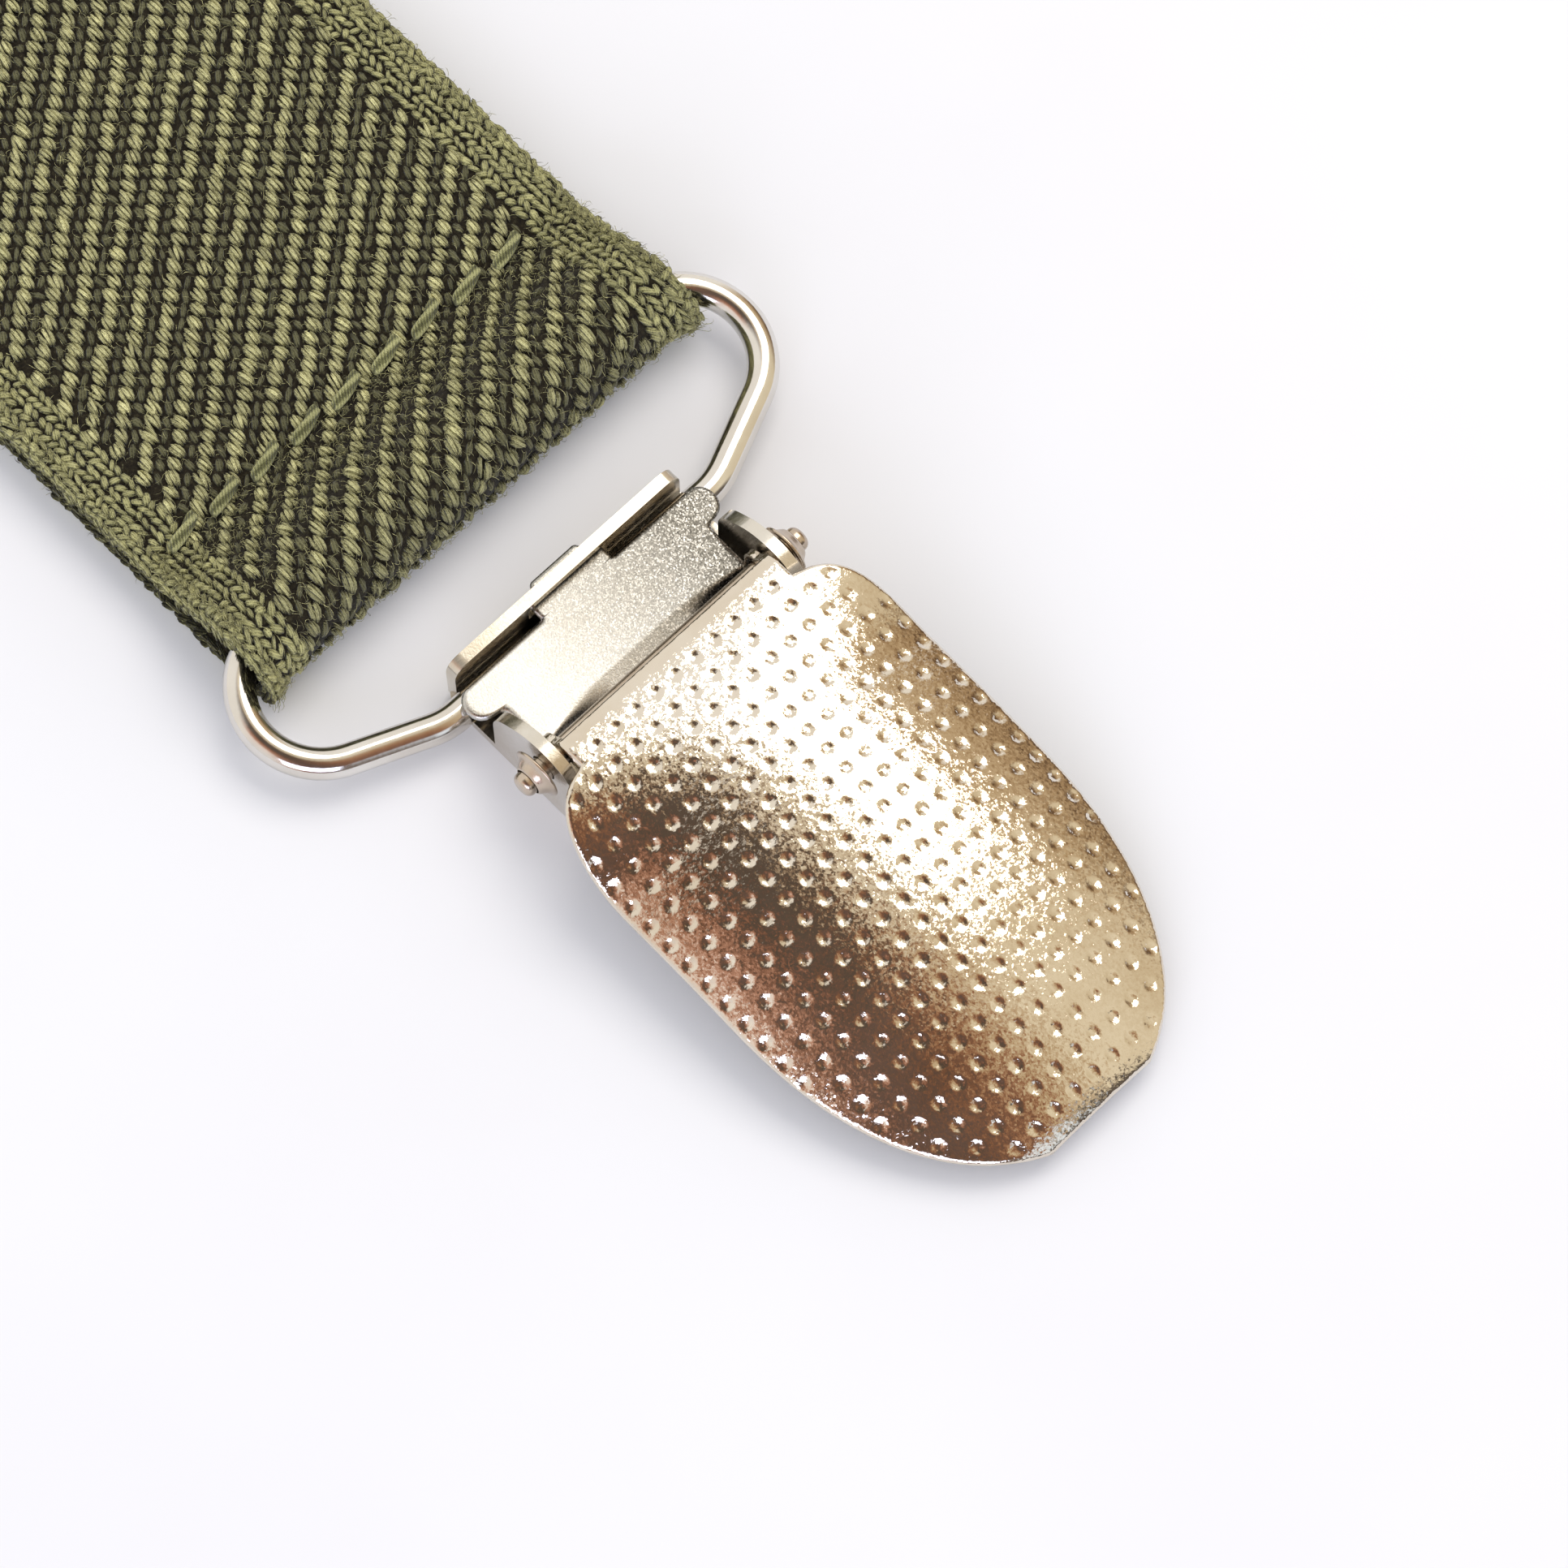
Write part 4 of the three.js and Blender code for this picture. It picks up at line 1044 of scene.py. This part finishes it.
def selvedges():
    """Zigzag strands in columns beside the floats, and loops round the very edge."""
    u0 = np.arange(0.5, STRAP_LENGTH - 0.4, ZIGZAG_STEP)
    u, x = np.meshgrid(u0, np.hstack([ZIGZAG_COLUMNS, -ZIGZAG_COLUMNS]))
    lean = np.where(np.rint(np.abs(x) / 0.55) % 2 > 0, 0.5, -0.5) * np.sign(x)
    u = u + np.where(lean > 0, ZIGZAG_STEP / 2, 0)
    face = (u.ravel(), x.ravel(), cloth_height(u, x, CLOTH_HALF).ravel() + 0.06, lean.ravel())
    u, x = np.meshgrid(np.arange(0.5, STRAP_LENGTH - 0.4, LOOP_STEP), [-LOOP_AT, LOOP_AT])
    rows = [face] + [(u.ravel() + shift, x.ravel(), h + 0 * u.ravel(), 0.25 + 0 * u.ravel())
                     for shift, h in ((0, 0.42), (0.27, 0.0), (0, -0.42))]
    u, x, h, angle = (np.hstack([row[i] for row in rows]) for i in range(4))
    n = len(u)
    u, x = u + rng.normal(0, 0.07, n), x + rng.normal(0, 0.05, n)
    return spindles(u, x, h + rng.normal(0, 0.04, n), angle + rng.normal(0, 0.28, n),
                    rng.normal(0.98, 0.12, n), rng.normal(0.44, 0.06, n),
                    rng.normal(0.24, 0.04, n), twist=7.0)


yarn_piece("selvedge_strands", selvedges(), EDGE_YARN)

# %% [markdown]
# ## Stray fibres
#
# Spun wool sheds loose fibres, most of all where it is bent and rubbed, on the fold and along
# the edges. Each is a thin three-sided tube on a short arc. A real fibre is about 0.02 mm; these
# are 0.04 mm so that the finest still shows.

# %% Fibres
FIBRE_RADIUS = 0.02
FIBRE_RINGS, FIBRE_SIDES = 5, 3


def fibres(count, start, end):
    """Arcs that leave the yarns at a slant and bend back to them, as closed thin tubes, between
    two distances along the strap. A fifth of them stand along its sides. The height over the
    yarns is the rise times sin(0.85 pi t), and the sideways bend goes with t (1 - t)."""
    u = rng.uniform(start, end, count)
    at_side = rng.random(count) < 0.2
    x = np.where(at_side, np.sign(rng.normal(size=count)) * rng.uniform(16.5, 17.4, count),
                 rng.uniform(-17, 17, count))
    way = rng.uniform(0, 2 * math.pi, count)
    reach, rise = rng.uniform(0.3, 0.9, count), rng.uniform(0.0, 0.36, count)
    t = np.linspace(0, 1, FIBRE_RINGS)[None]
    bend = rng.normal(0, 0.5, count)[:, None] * t * (1 - t) * 2
    du = reach[:, None] * (t * np.cos(way)[:, None] - bend * np.sin(way)[:, None])
    dx = reach[:, None] * (t * np.sin(way)[:, None] + bend * np.cos(way)[:, None])
    base = cloth_height(u, x, CLOTH_HALF)[:, None] + rng.uniform(0.1, 0.34, count)[:, None]
    h = base + rise[:, None] * np.sin(math.pi * t * 0.85)
    spot = on_strap(np.clip(u[:, None] + du, 0.3, STRAP_LENGTH - 0.3),
                    np.clip(x[:, None] + dx, -17.9, 17.9), h)
    a = np.radians([90, 210, 330])[None, None, :, None]
    thick = FIBRE_RADIUS * np.array([0.0, 1, 1, 0.8, 0.0])[None, :, None, None]
    ring = thick * (np.cos(a) * np.array([1, 0, 0]) + np.sin(a) * np.array([0, 0.4, 0.9]))
    points = spot[:, :, None] + ring
    points[..., 2] = np.maximum(points[..., 2], TABLE_GAP)
    face = repeated(FIBRE_RINGS, FIBRE_SIDES, count)
    tone = np.repeat(rng.normal(1.0, 0.3, count), FIBRE_RINGS * FIBRE_SIDES)
    return points.reshape(-1, 3), face, {
        "height": np.full(len(tone), 0.75), "tone": tone, "ply": np.zeros(len(tone))}


yarn_piece("upper_fibres", fibres(6000, SLOPE_AT, STRAP_LENGTH - 1))
yarn_piece("fold_fibres", fibres(4200, FOLD_AT - 1, SEAM_AT))
yarn_piece("lower_fibres", fibres(2600, 1.0, FOLD_AT))

# %% [markdown]
# ## The seam
#
# One row of thick lockstitches holds the fold. Each stitch of the needle thread dives into the
# cloth at both ends, and the bobbin thread does the same below. The thread is three plies laid
# together, so each stitch is a tube whose section is a circle with three lobes that turn as
# they go along.

# %% Stitches
STITCH_PITCH = 3.3
THREAD_RADIUS = 0.38


def stitches(face_u, base, way, shift, oblique, rings=26, sides=18):
    """A row of stitches across the strap at face_u; way is 1 on the upper side. A stitch lifts
    as sin(pi t)^0.35, and its section is a circle times 1 + 0.2 cos(3 (a - 2.4 t))."""
    start = np.arange(-15.7 + shift, 15.8 - STITCH_PITCH * 0.6, STITCH_PITCH)
    n = len(start)
    t = np.linspace(0, 1, rings)[None]
    span = STITCH_PITCH * 0.84
    x = start[:, None] + span * t
    lift = np.sin(math.pi * t) ** 0.35
    slant = (oblique + rng.normal(0, 0.04, n))[:, None]
    u = face_u + slant * (t - 0.5) + rng.normal(0, 0.05, n)[:, None]
    h = base + 0.36 * lift - 0.30
    spot = on_strap(u, x, h + 0 * u) if way > 0 else np.stack(
        [x, SEAM_Y + (u - face_u), 0.28 + 0.3 * (1 - lift) + 0 * u], -1)
    a = np.linspace(0, 2 * math.pi, sides, endpoint=False)[None, None]
    lobes = 1 + 0.2 * np.cos(3 * (a - 2.4 * t[..., None]))
    shrink = np.sqrt(np.clip(1 - (2 * t - 1) ** 10, 0, 1))[..., None]
    r = THREAD_RADIUS * lobes * shrink
    ring = np.stack([0 * a + 0 * r, r * np.cos(a), r * np.sin(a) * 0.9], -1)
    points = spot[:, :, None] + ring
    points[..., 2] = np.maximum(points[..., 2], TABLE_GAP)
    face = repeated(rings, sides, n)
    every = np.zeros((n, rings, sides))
    # The height mark paints light on the ridges of the plies and shade in their grooves.
    return points.reshape(-1, 3), face, {
        "height": every + (lobes - 0.8) / 0.4 * 0.5 + 0.45,
        "tone": np.repeat(rng.normal(1, 0.06, n), rings * sides),
        "ply": every + a * 6 + t[..., None] * 60}


yarn_piece("needle_stitches", stitches(SEAM_AT, CLOTH_HALF + 0.52, 1, 0.0, 0.85),
           STITCH_YARN, "sewing_thread", "needle_thread")
yarn_piece("bobbin_stitches", stitches(SEAM_AT, 0, -1, 0.4, 0.1),
           STITCH_YARN, "sewing_thread", "bobbin_thread")
